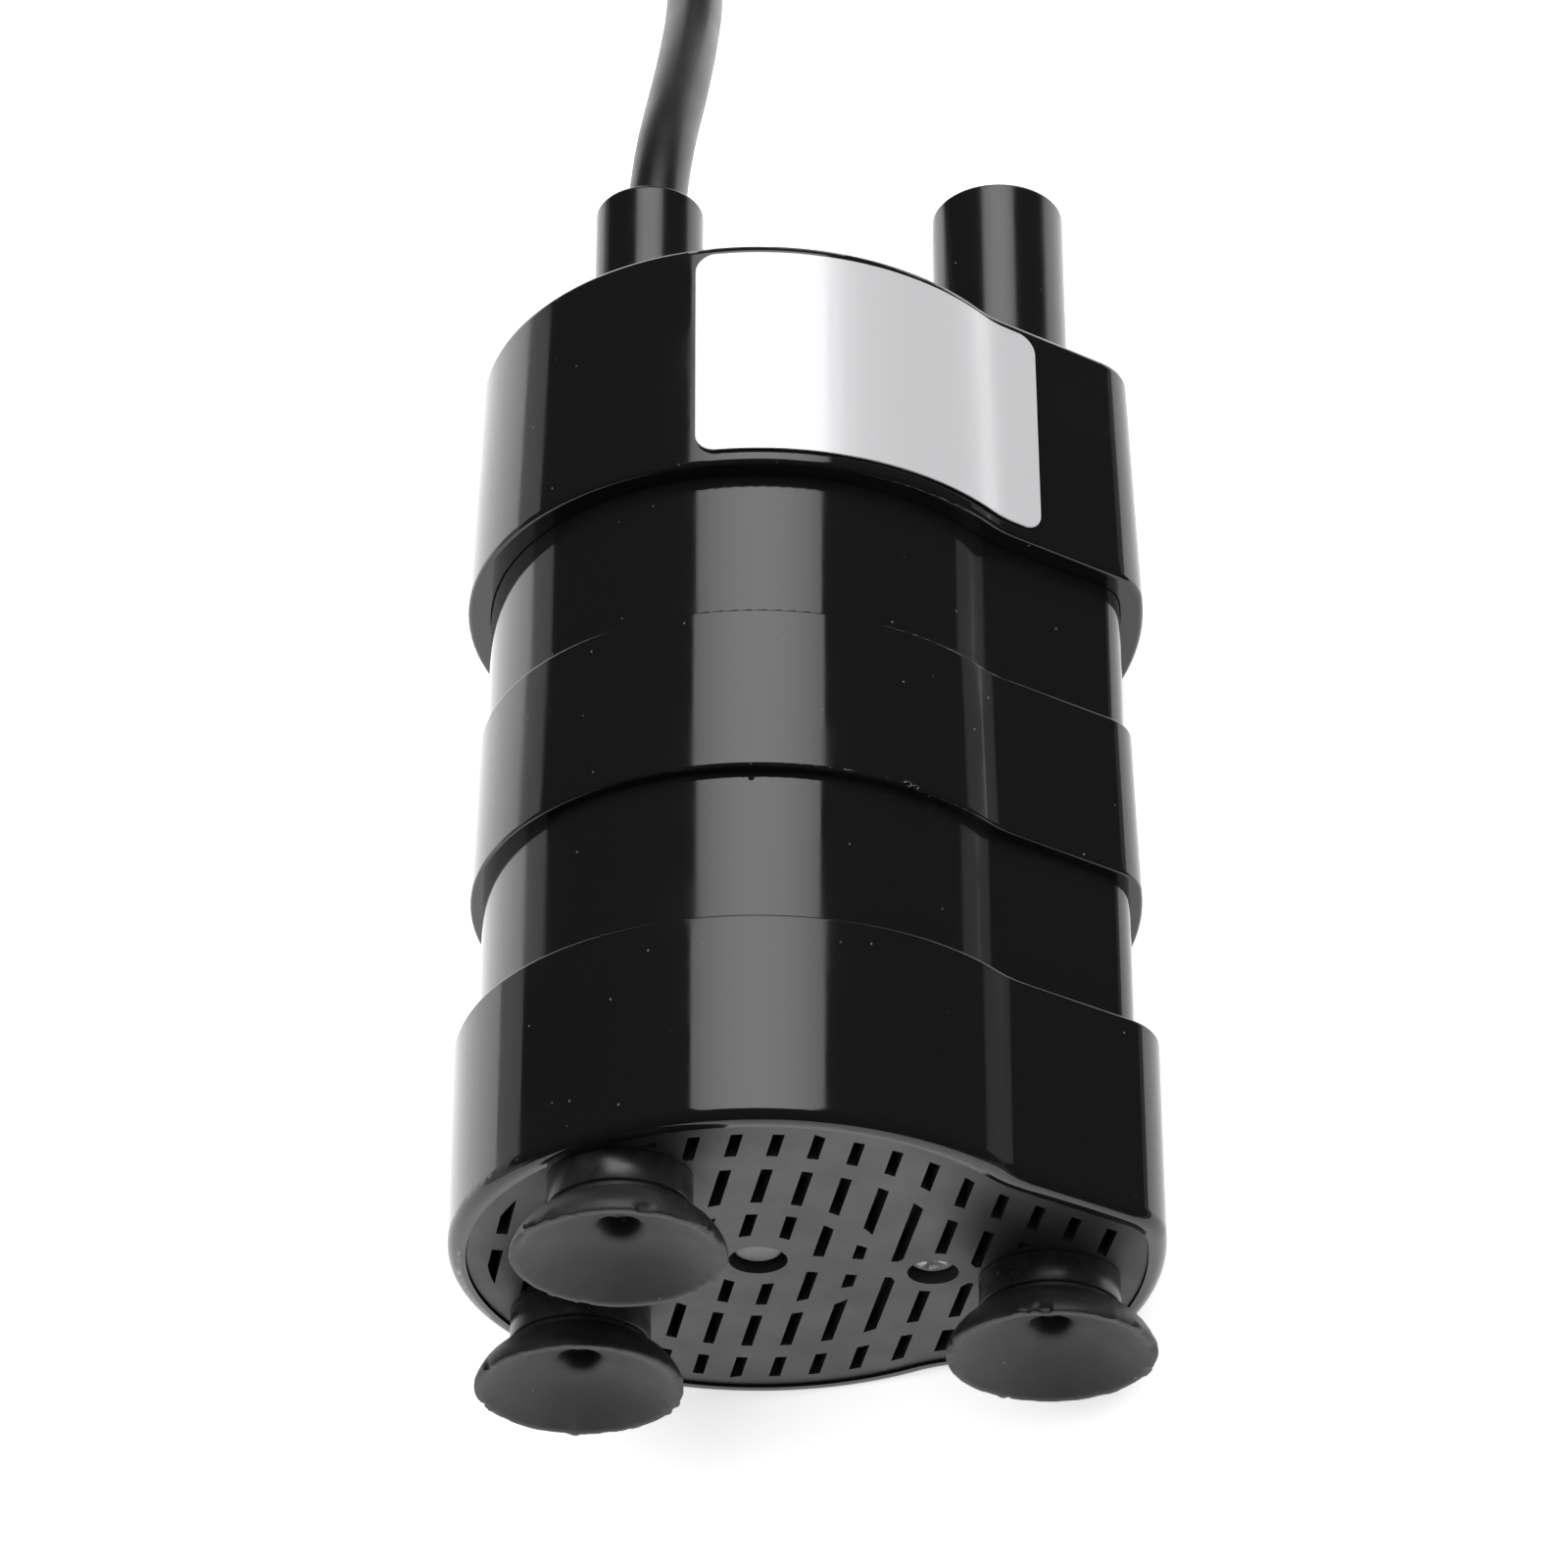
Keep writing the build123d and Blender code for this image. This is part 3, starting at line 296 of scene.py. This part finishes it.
def acetal():
    """Acetal, painted mid-grey: its pale colour is darkened as painted shade for its place deep behind the
    strainer's slots and centre hole. Waxy and faintly cloudy.
    """
    # painted shade: the base colour and both cloud tones are a mid-grey darker than this pale plastic, for the
    # shade deep behind the strainer's slots and hole
    made, tree, shader, place = start_material("acetal_painted_shade_grey", "#77787a", 0.38, ior=1.48)
    clouds = add(tree, "ShaderNodeTexNoise", {
        "Vector": place, "Scale": per_mm(3.0), "Detail": 4.0, "Roughness": 0.55,
    }).outputs["Fac"]
    tone = add(tree, "ShaderNodeMix", {
        "Factor": clouds, "A": linear("#6c6d6f"), "B": linear("#838486"),
    }, data_type="RGBA")
    tree.links.new(tone.outputs["Result"], shader.inputs["Base Color"])
    grain(tree, shader, place, 0.5, 0.01, 0.3)
    return made


def nylon():
    """Glass-filled nylon: matt, with the glass fibres roughening its skin."""
    made, tree, shader, place = start_material("moulded_glass_nylon", "#1d1e1f", 0.5, ior=1.53)
    grain(tree, shader, place, 0.3, 0.015, 0.5, detail=5.0)
    return made


def foam():
    """Open-cell polyether foam: dead matt, full of pores, each painted near black in its middle as painted shade
    in the hollow.
    """
    made, tree, shader, place = start_material("open_cell_foam", "#1c1c1c", 0.95, ior=1.4)
    pores = add(tree, "ShaderNodeTexVoronoi", {
        "Vector": place, "Scale": per_mm(0.9)}).outputs["Distance"]
    pore_shade_fade = add(tree, "ShaderNodeMapRange", {
        "Value": pores, "From Min": 0.1, "From Max": 0.6, "To Min": 0, "To Max": 1,
    })
    # painted shade: near black in the middle of each pore, dark grey on the walls between them
    tone = add(tree, "ShaderNodeMix", {
        "Factor": pore_shade_fade.outputs["Result"], "A": linear("#060606"), "B": linear("#232323"),
    }, data_type="RGBA")
    tree.links.new(tone.outputs["Result"], shader.inputs["Base Color"])
    pits = add(tree, "ShaderNodeBump", {"Height": pores, "Distance": 0.3 * MM, "Strength": 0.9})
    tree.links.new(pits.outputs["Normal"], shader.inputs["Normal"])
    return made


def label_film():
    """Metallised polyester film under a clear satin coat: silver-white with a soft even sheen."""
    return start_material("satin_silver_film", "#dadadc", 0.3, metallic=0.25)[0]


def plated_steel():
    """Zinc-plated steel screw with fine tool marks, painted bright: a near-white, half-metallic colour stands in
    for the glints its head would catch in its shaded recess.
    """
    # painted highlight: near-white base colour and metallic only 0.55, so diffuse light brightens the head as
    # glints would
    made, tree, shader, place = start_material("zinc_plated_steel", "#f0f0ee", 0.22, metallic=0.55)
    uneven_gloss(tree, shader, place, 0.5, 0.16, 0.34)
    grain(tree, shader, place, 0.5, 0.02, 0.5, detail=3.0)
    return made


def drawn_steel():
    """Deep-drawn steel: grey metal, brightened and dulled in patches by the drawing tool."""
    made, tree, shader, place = start_material("drawn_steel", "#9fa0a1", 0.35, metallic=1.0)
    uneven_gloss(tree, shader, place, 2.0, 0.28, 0.45)
    grain(tree, shader, place, 0.3, 0.01, 0.4)
    return made


def enamelled_copper():
    """Wound enamelled wire: warm copper, with a relief as coarse as the wire."""
    made, tree, shader, place = start_material("enamelled_copper", "#b5643c", 0.3, metallic=1.0)
    grain(tree, shader, place, 0.35, 0.05, 0.6, detail=2.0)
    return made


def bronze():
    """Sintered bronze: dull gold, pitted by its open grains."""
    made, tree, shader, place = start_material("sintered_bronze", "#a9804f", 0.45, metallic=1.0)
    grain(tree, shader, place, 0.2, 0.02, 0.6, detail=5.0)
    return made


def ferrite():
    """Sintered ferrite: dark, hard and stony."""
    made, tree, shader, place = start_material("sintered_ferrite", "#3b3b3e", 0.6, ior=2.0)
    grain(tree, shader, place, 0.3, 0.02, 0.5, detail=5.0)
    return made


def carbon():
    """Pressed carbon: near-black with a graphite sheen."""
    made, tree, shader, place = start_material("pressed_carbon", "#232325", 0.5, ior=1.8)
    grain(tree, shader, place, 0.2, 0.01, 0.5, detail=5.0)
    return made


def epoxy():
    """Cast epoxy: glossy black, with a slow wave where it set."""
    made, tree, shader, place = start_material("cast_epoxy", "#141414", 0.25, ior=1.55)
    grain(tree, shader, place, 3.0, 0.15, 0.5, detail=2.0)
    return made


def lead_pvc():
    """Extruded PVC wire cover: plain red, softly glossy."""
    made, tree, shader, place = start_material("extruded_pvc", "#8e1f1a", 0.4, ior=1.52)
    grain(tree, shader, place, 1.0, 0.01, 0.4)
    return made


def tie_nylon():
    """Moulded nylon strap: black, half-matt."""
    made, tree, shader, place = start_material("moulded_tie_nylon", "#141415", 0.45, ior=1.53)
    grain(tree, shader, place, 0.4, 0.02, 0.4)
    return made


def plug_pvc():
    """Overmoulded soft PVC with a light grain."""
    made, tree, shader, place = start_material("overmoulded_pvc", "#161617", 0.45, ior=1.52)
    grain(tree, shader, place, 0.3, 0.02, 0.4)
    return made


def nickel():
    """Nickel plate: bright and warm, with slight cloudy wear."""
    made, tree, shader, place = start_material("nickel_plate", "#cfccc4", 0.16, metallic=1.0)
    uneven_gloss(tree, shader, place, 1.0, 0.12, 0.24)
    return made


MATERIALS = {
    "casing": gloss_abs("gloss_moulded_abs", 0.05, 0.15),
    "strainer": satin_abs(), "cup_rubber": cup_rubber(),
    "pale_plastic": acetal(), "impeller_plastic": nylon(), "seal_rubber": seal_rubber(),
    "foam": foam(), "label": label_film(), "screw_steel": plated_steel(),
    "can_steel": drawn_steel(), "copper": enamelled_copper(), "bronze": bronze(),
    "ferrite": ferrite(), "carbon": carbon(), "potting": epoxy(), "lead_wire": lead_pvc(),
    "cable_sheath": cable_rubber(), "tie": tie_nylon(), "plug_rubber": plug_pvc(),
    "plug_metal": nickel(),
}


def dress(obj, slot):
    """Gives a piece the material of the record's slot."""
    obj.data.materials.clear()
    obj.data.materials.append(MATERIALS[slot])


def dress_cad_nodes():
    """Every CAD node by its slot. The two tubes' skin is a little duller than the shell's."""
    for entry in frame["record"]["subparts"]:
        dress(nodes[entry["node"]], entry["material_slot"])
    tube_abs = gloss_abs("soft_gloss_tube_abs", 0.15, 0.24)
    for name in ("cable_gland", "outlet_tube"):
        nodes[name].data.materials[0] = tube_abs


# ---------------------------------------------------------------- cord
# Chosen points, mm: the run from the gland down to the hank, and the tail from it to the plug.
CORD_RADIUS = 3.15
CORD_ROUTE = (
    (-14.06, 46.9, 35.61),
    (-14.06, 66.0, 35.61),
    (-15.0, 96.0, 22.3),
    (-19.4, 118.0, 9.4),
    (-25.0, 137.0, 3.4),
)
TAIL_ROUTE = (
    (-25.5, 267.7, 10.35),
    (-25.5, 275.1, 9.9),
    (-25.5, 287.1, 5.1),
    (-25.5, 293.6, 5.1),
)
HANK_LEFT = -25.5        # outer turn's left side
HANK_HALF_WIDTH = 16.0   # outer turn's centreline from the hank's middle
HANK_NEAR, HANK_RUN = 152.5, 100.0   # where the straight sides start, and their length
HANK_PITCH = 6.5         # between rows
HANK_LOW, HANK_HIGH = 4.05, 10.35    # heights of the two layers
# each turn's row in from the outer one, and its layer
HANK_TURNS = ((0, 0), (1, 0), (1, 1), (0, 1))
BEND_STEPS = 6           # points round each end of a turn
RUN_STEPS = 4            # points along each straight side


def hank_points():
    """Long turns, in on the lower layer and out on the upper. Each passes to the next
    round the near end, and the last leaves along the left side."""
    middle = HANK_LEFT + HANK_HALF_WIDTH
    far = HANK_NEAR + HANK_RUN
    # the curve cuts inside its points, so those of a bend lie a little further out
    reach = 1 / cos(pi / BEND_STEPS / 4) ** 2
    points = []
    for number, (row, layer) in enumerate(HANK_TURNS):
        half = HANK_HALF_WIDTH - row * HANK_PITCH
        height = HANK_HIGH if layer else HANK_LOW
        for step in range(RUN_STEPS):
            points.append((middle - half, HANK_NEAR + HANK_RUN * (step + 0.5) / RUN_STEPS, height))
        if number == len(HANK_TURNS) - 1:
            break
        for step in range(BEND_STEPS):
            angle = pi - pi * (step + 0.5) / BEND_STEPS
            points.append((middle + half * reach * cos(angle), far + half * reach * sin(angle), height))
        for step in range(RUN_STEPS):
            points.append((middle + half, far - HANK_RUN * (step + 0.5) / RUN_STEPS, height))
        next_row, next_layer = HANK_TURNS[number + 1]
        next_half = HANK_HALF_WIDTH - next_row * HANK_PITCH
        next_height = HANK_HIGH if next_layer else HANK_LOW
        for step in range(BEND_STEPS):
            share = (step + 0.5) / BEND_STEPS
            angle = -pi * share
            blend = share * share * (3 - 2 * share)
            radius = (half + (next_half - half) * blend) * reach
            points.append((middle + radius * cos(angle), HANK_NEAR + radius * sin(angle),
                           height + (next_height - height) * blend))
    return points


def make_cord():
    """One smooth curve from the gland, through the hank, to the plug."""
    points = [*CORD_ROUTE, *hank_points(), *TAIL_ROUTE]
    data = bpy.data.curves.new("power_cord", "CURVE")
    data.dimensions = "3D"
    data.bevel_depth = CORD_RADIUS * MM
    data.bevel_resolution = 8
    data.resolution_u = 8
    data.use_fill_caps = True
    spline = data.splines.new("NURBS")
    spline.points.add(len(points) - 1)
    for point, place in zip(spline.points, points):
        point.co = (*(Vector(place) * MM), 1)
    spline.order_u = 3
    spline.use_endpoint_u = True
    cord = placed("power_cord", data)
    dress(cord, "cable_sheath")
    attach(cord, "root")
    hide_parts("power_cable", "cable_coil", "cable_tail")


# ---------------------------------------------------------------- pieces made here
def finished(name, mesh_tree, slot, *stands_for, sharp=35):
    """Turns a bmesh into a piece on the pump's body."""
    data = bpy.data.meshes.new(name)
    mesh_tree.normal_update()
    mesh_tree.to_mesh(data)
    mesh_tree.free()
    data.polygons.foreach_set("use_smooth", [True] * len(data.polygons))
    data.set_sharp_from_angle(angle=radians(sharp))
    piece = placed(name, data)
    dress(piece, slot)
    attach(piece, "root")
    if stands_for:
        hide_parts(*stands_for)
    return piece


# cup's section from the middle of its hollow to the top of its stem: radius, height, mm
CUP_SECTION = (
    (0, 5.5), (1.1, 5.42), (1.6, 5.1), (1.8, 4.4), (1.95, 3.75), (2.3, 3.38), (3.0, 3.12),
    (3.9, 2.83), (4.9, 2.42), (5.9, 1.95), (6.9, 1.45), (7.9, 0.9), (8.7, 0.44), (9.2, 0.14),
    (9.45, 0.0), (9.8, -0.01), (10.05, 0.05), (10.15, 0.22), (10.13, 0.5), (10.02, 0.95),
    (9.8, 1.45), (9.4, 2.12), (8.9, 2.75), (8.2, 3.4), (7.4, 3.98), (6.7, 4.36), (6.4, 4.5),
    (6.36, 4.62), (6.4, 4.9), (6.6, 4.95), (6.78, 4.98), (6.85, 5.1), (6.85, 6.6), (6.85, 8.02),
    (6.75, 8.14), (3.0, 8.15), (3.0, 10.15), (3.8, 10.15), (2.4, 12.35), (0.01, 12.35),
)
CUP_SEGMENTS = 168
LIP_FROM = 8.7           # flash starts outside this radius, below LIP_TOP
LIP_TOP = 0.6
LIP_RADIUS = max(radius for radius, height in CUP_SECTION)
LIP_OUT, LIP_DOWN = 0.2, 0.1         # how far a step of the ragged edge stands out and hangs down
LIP_WAVES = (3, 5, 9, 14)            # round the lip
LIP_NICKS = 16
WELD_DISTANCE = 1e-7                 # m


def ragged(chance, count):
    """Uneven trim round a lip: a slow wave with nicks and torn tabs."""
    waves = [(chance.uniform(0, 2 * pi), k, chance.uniform(0.3, 1) / k) for k in LIP_WAVES]
    edge = [sum(a * sin(k * 2 * pi * i / count + p) for p, k, a in waves) for i in range(count)]
    for _ in range(LIP_NICKS):
        start, size, depth = chance.randrange(count), chance.randint(1, 4), chance.uniform(-1.6, 1.2)
        for i in range(size):
            edge[(start + i) % count] += depth
    return edge


def make_cup(number):
    """Turns the section round the cup's axis, with its lip trimmed unevenly."""
    node = f"suction_cup_{number}"
    low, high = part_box(node)
    middle = Vector(((low.x + high.x) / 2, low.y, (low.z + high.z) / 2))
    chance = random.Random(number)
    out, down = ragged(chance, CUP_SEGMENTS), ragged(chance, CUP_SEGMENTS)
    shape = bmesh.new()
    rings = []
    for radius, height in CUP_SECTION:
        circle = []
        for i in range(CUP_SEGMENTS):
            angle = 2 * pi * i / CUP_SEGMENTS
            flash = radius > LIP_FROM and height < LIP_TOP
            share = (radius - LIP_FROM) / (LIP_RADIUS - LIP_FROM) if flash else 0
            r = radius + share * LIP_OUT * out[i]
            y = height - share * LIP_DOWN * down[i]
            place = middle + Vector((r * cos(angle), y, r * sin(angle))) * MM
            circle.append(shape.verts.new(place))
        rings.append(circle)
    for lower, upper in zip(rings, rings[1:]):
        for i in range(CUP_SEGMENTS):
            j = (i + 1) % CUP_SEGMENTS
            shape.faces.new((lower[i], upper[i], upper[j], lower[j]))
    shape.faces.new(list(reversed(rings[-1])))
    bmesh.ops.remove_doubles(shape, verts=shape.verts, dist=WELD_DISTANCE)
    bmesh.ops.recalc_face_normals(shape, faces=shape.faces)
    finished(f"cup_{number}", shape, "cup_rubber", node)


LABEL_X = (-10.75, 25.5)    # side edges in the pump's frame
LABEL_CORNER = 2.0          # radius
LABEL_STEPS = (90, 50)      # columns and rows
LABEL_MARGIN = 0.02         # casts keep this far inside the CAD label's edges
LABEL_LIFT = 0.06           # film's face over the CAD label's
LABEL_RIM = 0.2             # depth of its cut edge
CAST_FROM = -60             # in front of the pump


def make_label():
    """Wraps a rounded card on the cap by casting at the CAD label's outer face."""
    node = nodes["rating_label"]
    low, high = (point.y - pump_base.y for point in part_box("rating_label"))
    low, high = low / MM, high / MM
    columns, rows = LABEL_STEPS
    half, middle = (LABEL_X[1] - LABEL_X[0]) / 2, (LABEL_X[1] + LABEL_X[0]) / 2
    shape = bmesh.new()
    grid = []
    for j in range(rows + 1):
        height = (low + high) / 2 - (high - low) / 2 * cos(pi * j / rows)
        near = max(0, LABEL_CORNER - min(height - low, high - height))
        inset = LABEL_CORNER - (LABEL_CORNER**2 - near**2) ** 0.5
        line = []
        for i in range(columns + 1):
            x = middle + (half - inset - LABEL_MARGIN) * (2 * i / columns - 1)
            held = min(max(height, low + LABEL_MARGIN), high - LABEL_MARGIN)
            _, place, normal, _ = node.ray_cast(pump_point(x, CAST_FROM, held), pump_back)
            line.append(shape.verts.new(place + normal * LABEL_LIFT * MM))
        grid.append(line)
    for a, b in zip(grid, grid[1:]):
        for i in range(columns):
            shape.faces.new((a[i], a[i + 1], b[i + 1], b[i]))
    bmesh.ops.recalc_face_normals(shape, faces=shape.faces)
    rim = bmesh.ops.extrude_face_region(shape, geom=list(shape.faces))
    for vert in rim["geom"]:
        if isinstance(vert, bmesh.types.BMVert):
            vert.co += pump_back * LABEL_RIM * MM
    bmesh.ops.recalc_face_normals(shape, faces=shape.faces)
    finished("label_film", shape, "label", "rating_label")


FOAM_GRID = 0.9          # spacing of the pad's mesh
FOAM_TEAR = 2.5          # size of the bites that the knife leaves
FOAM_TEAR_DEPTH = 0.5
FOAM_LEVEL = 0.2         # share of the depth that stands proud


def make_foam():
    """Foam pad with cut, uneven faces, from the CAD pad's own shape."""
    pad = placed("foam_block", nodes["foam_pad"].data.copy())
    remesh = pad.modifiers.new("remesh", "REMESH")
    remesh.mode, remesh.voxel_size = "VOXEL", FOAM_GRID * MM
    tears = bpy.data.textures.new("foam_cut", "CLOUDS")
    tears.noise_scale = FOAM_TEAR * MM
    uneven = pad.modifiers.new("uneven", "DISPLACE")
    uneven.texture, uneven.strength, uneven.mid_level = tears, -FOAM_TEAR_DEPTH * MM, FOAM_LEVEL
    uneven.texture_coords = "GLOBAL"
    bpy.context.view_layer.update()
    done = bpy.data.meshes.new_from_object(pad.evaluated_get(bpy.context.evaluated_depsgraph_get()))
    pad.modifiers.clear()
    pad.data = done
    done.polygons.foreach_set("use_smooth", [True] * len(done.polygons))
    dress(pad, "foam")
    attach(pad, "root")
    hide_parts("foam_pad")


# moulding flash on the band's lower edge: degrees round from the camera's side, size in mm
FLASH_NUBS = ((-1.4, 0.35), (29.5, 0.7), (31.5, 0.5))
FLASH_FLATNESS = 0.55
BAND_RADIUS = 28.5
BAND_LOW = 46.2          # above the cup lips


def make_flash():
    """A few nubs of moulding flash on the band's lower edge."""
    shape = bmesh.new()
    for turn, size in FLASH_NUBS:
        angle = radians(turn) - CAMERA_YAW - pi / 2
        place = pump_point(BAND_RADIUS * cos(angle), BAND_RADIUS * sin(angle), BAND_LOW)
        flat = Matrix.Diagonal((size, size * FLASH_FLATNESS, size, 1)) @ Matrix.Scale(MM, 4)
        bmesh.ops.create_icosphere(shape, subdivisions=2, radius=1.0,
                                   matrix=Matrix.Translation(place) @ flat)
    finished("band_flash", shape, "casing", sharp=180)


# ---------------------------------------------------------------- stage and light
# Table, m. Past its edge the gloss doesn't mirror it, but for a dim strip along the edge.
TABLE_LEFT, TABLE_EDGE, TABLE_RIGHT = -1.2, 0.085, 2.5
TABLE_NEAR, TABLE_FAR = -1.0, 1.0
DIM_WIDTH, DIM_LIFT = 0.03, 0.0002
CARD_HEIGHT = 0.3
WALL_RADIUS = 8
SHINE = (1, 1, 1, 1)     # colour of everything that gives light


def staged(name, mesh, made):
    """A mesh that isn't part of the object, in one material."""
    mesh.materials.append(made)
    sheet = placed(name, mesh)
    return sheet


def stage_sheet(name, corners, made):
    mesh = bpy.data.meshes.new(name)
    mesh.from_pydata(corners, [], [(0, 1, 2, 3)])
    return staged(name, mesh, made)


def lit_material(name, colour, strength):
    """Matt paint with a light of its own, as an over-lit surface has."""
    made, _, shader, _ = start_material(name, colour, 0.6)
    shader.inputs["Emission Color"].default_value = SHINE
    shader.inputs["Emission Strength"].default_value = strength
    return made


def table_sheet(name, left, right, height, made):
    """Part of the table from one x to another."""
    return stage_sheet(name, [(left, TABLE_NEAR, height), (right, TABLE_NEAR, height),
                              (right, TABLE_FAR, height), (left, TABLE_FAR, height)], made)


def make_floor():
    """Pale table, lifted to white as an over-lit sweep is, with a low grey card at its left."""
    white = lit_material("white_table", "#f4f4f4", 0.7)
    card = lit_material("grey_card", "#808080", 0.34)
    table_sheet("table", TABLE_LEFT, TABLE_EDGE, 0, white)
    past = table_sheet("table_past", TABLE_EDGE, TABLE_RIGHT, 0, white)
    past.visible_glossy = False
    dusk = lit_material("shaded_table", "#303030", 0.2)
    dim = table_sheet("table_dim", TABLE_EDGE, TABLE_EDGE + DIM_WIDTH, DIM_LIFT, dusk)
    dim.visible_camera = dim.visible_diffuse = dim.visible_shadow = False
    stage_sheet("card", [(TABLE_LEFT, TABLE_NEAR, 0), (TABLE_LEFT, TABLE_FAR, 0),
                         (TABLE_LEFT, TABLE_FAR, CARD_HEIGHT), (TABLE_LEFT, TABLE_NEAR, CARD_HEIGHT)],
                card)


def make_backdrop():
    """White wall all round, for the eye alone, so the gloss keeps its dark room."""
    shape = bmesh.new()
    bmesh.ops.create_icosphere(shape, subdivisions=3, radius=WALL_RADIUS)
    mesh = bpy.data.meshes.new("backdrop")
    shape.to_mesh(mesh)
    shape.free()
    wall = staged("backdrop", mesh, lit_material("white_wall", "#ffffff", 1.0))
    wall.visible_diffuse = wall.visible_glossy = wall.visible_transmission = False
    wall.visible_shadow = False


SOFTBOX_DISTANCE = 1.5               # m from the pump's middle
SOFTBOX_WIDTH, SOFTBOX_HEIGHT = 1.2, 1.6
SOFTBOX_MIDDLE, SOFTBOX_SIDE = 3.8, 2.2   # light along its middle line and at its sides
PUMP_MIDDLE = 60                     # above the cup lips, mm
FILL_HEIGHT, FILL_SIZE, FILL_WATTS = 2.5, 3.0, 60
ROOM_TONE = "#2a2a2a"


def facing_pump(toward, distance):
    """Place and turn of a sheet that faces the pump from a direction."""
    toward = toward.normalized()
    across = pump_up.cross(toward).normalized()
    turn = Matrix((across, toward.cross(across), toward)).transposed().to_4x4()
    return Matrix.Translation(pump_point(0, 0, PUMP_MIDDLE) + toward * distance) @ turn


def make_softbox(toward):
    """Long softbox, brighter along its middle line than at its sides."""
    made, tree, shader, place = start_material("softbox_cloth", "#000000", 1.0)
    across = add(tree, "ShaderNodeSeparateXYZ", {"Vector": place}).outputs["X"]
    share = add(tree, "ShaderNodeMath", {
        0: across, 1: 2 / SOFTBOX_WIDTH}, operation="MULTIPLY").outputs[0]
    square = add(tree, "ShaderNodeMath", {0: share, 1: share}, operation="MULTIPLY").outputs[0]
    glow = add(tree, "ShaderNodeMapRange", {
        "Value": square, "From Min": 0, "From Max": 1,
        "To Min": SOFTBOX_MIDDLE, "To Max": SOFTBOX_SIDE,
    })
    tree.links.new(glow.outputs["Result"], shader.inputs["Emission Strength"])
    shader.inputs["Emission Color"].default_value = SHINE
    x, y = SOFTBOX_WIDTH / 2, SOFTBOX_HEIGHT / 2
    box = stage_sheet("softbox", [(-x, -y, 0), (x, -y, 0), (x, y, 0), (-x, y, 0)], made)
    box.matrix_world = facing_pump(toward, SOFTBOX_DISTANCE)


def make_overhead_light():
    """Soft fill from above that the gloss doesn't mirror."""
    data = bpy.data.lights.new("overhead_fill", "AREA")
    data.shape = "SQUARE"
    data.size, data.energy = FILL_SIZE, FILL_WATTS
    lamp = placed("overhead_fill", data)
    lamp.location = (0, 0, FILL_HEIGHT)
    lamp.visible_glossy = False


def make_lights():
    """The softbox stands where the shell's front mirrors it, in a dark room."""
    level = cos(CAMERA_TILT)
    make_softbox(pump_turn(-sin(CAMERA_YAW) * level, -cos(CAMERA_YAW) * level, sin(CAMERA_TILT)))
    make_overhead_light()
    world = bpy.data.worlds.new("studio")
    bpy.context.scene.world = world
    world.use_nodes = True
    world.node_tree.nodes["Background"].inputs["Color"].default_value = linear(ROOM_TONE)
    world.node_tree.nodes["Background"].inputs["Strength"].default_value = 1.0
    bpy.context.scene.view_settings.view_transform = "Standard"


make_camera()
dress_cad_nodes()
make_cord()
for cup_number in (1, 2, 3):
    make_cup(cup_number)
make_label()
make_foam()
make_flash()
make_floor()
make_backdrop()
make_lights()
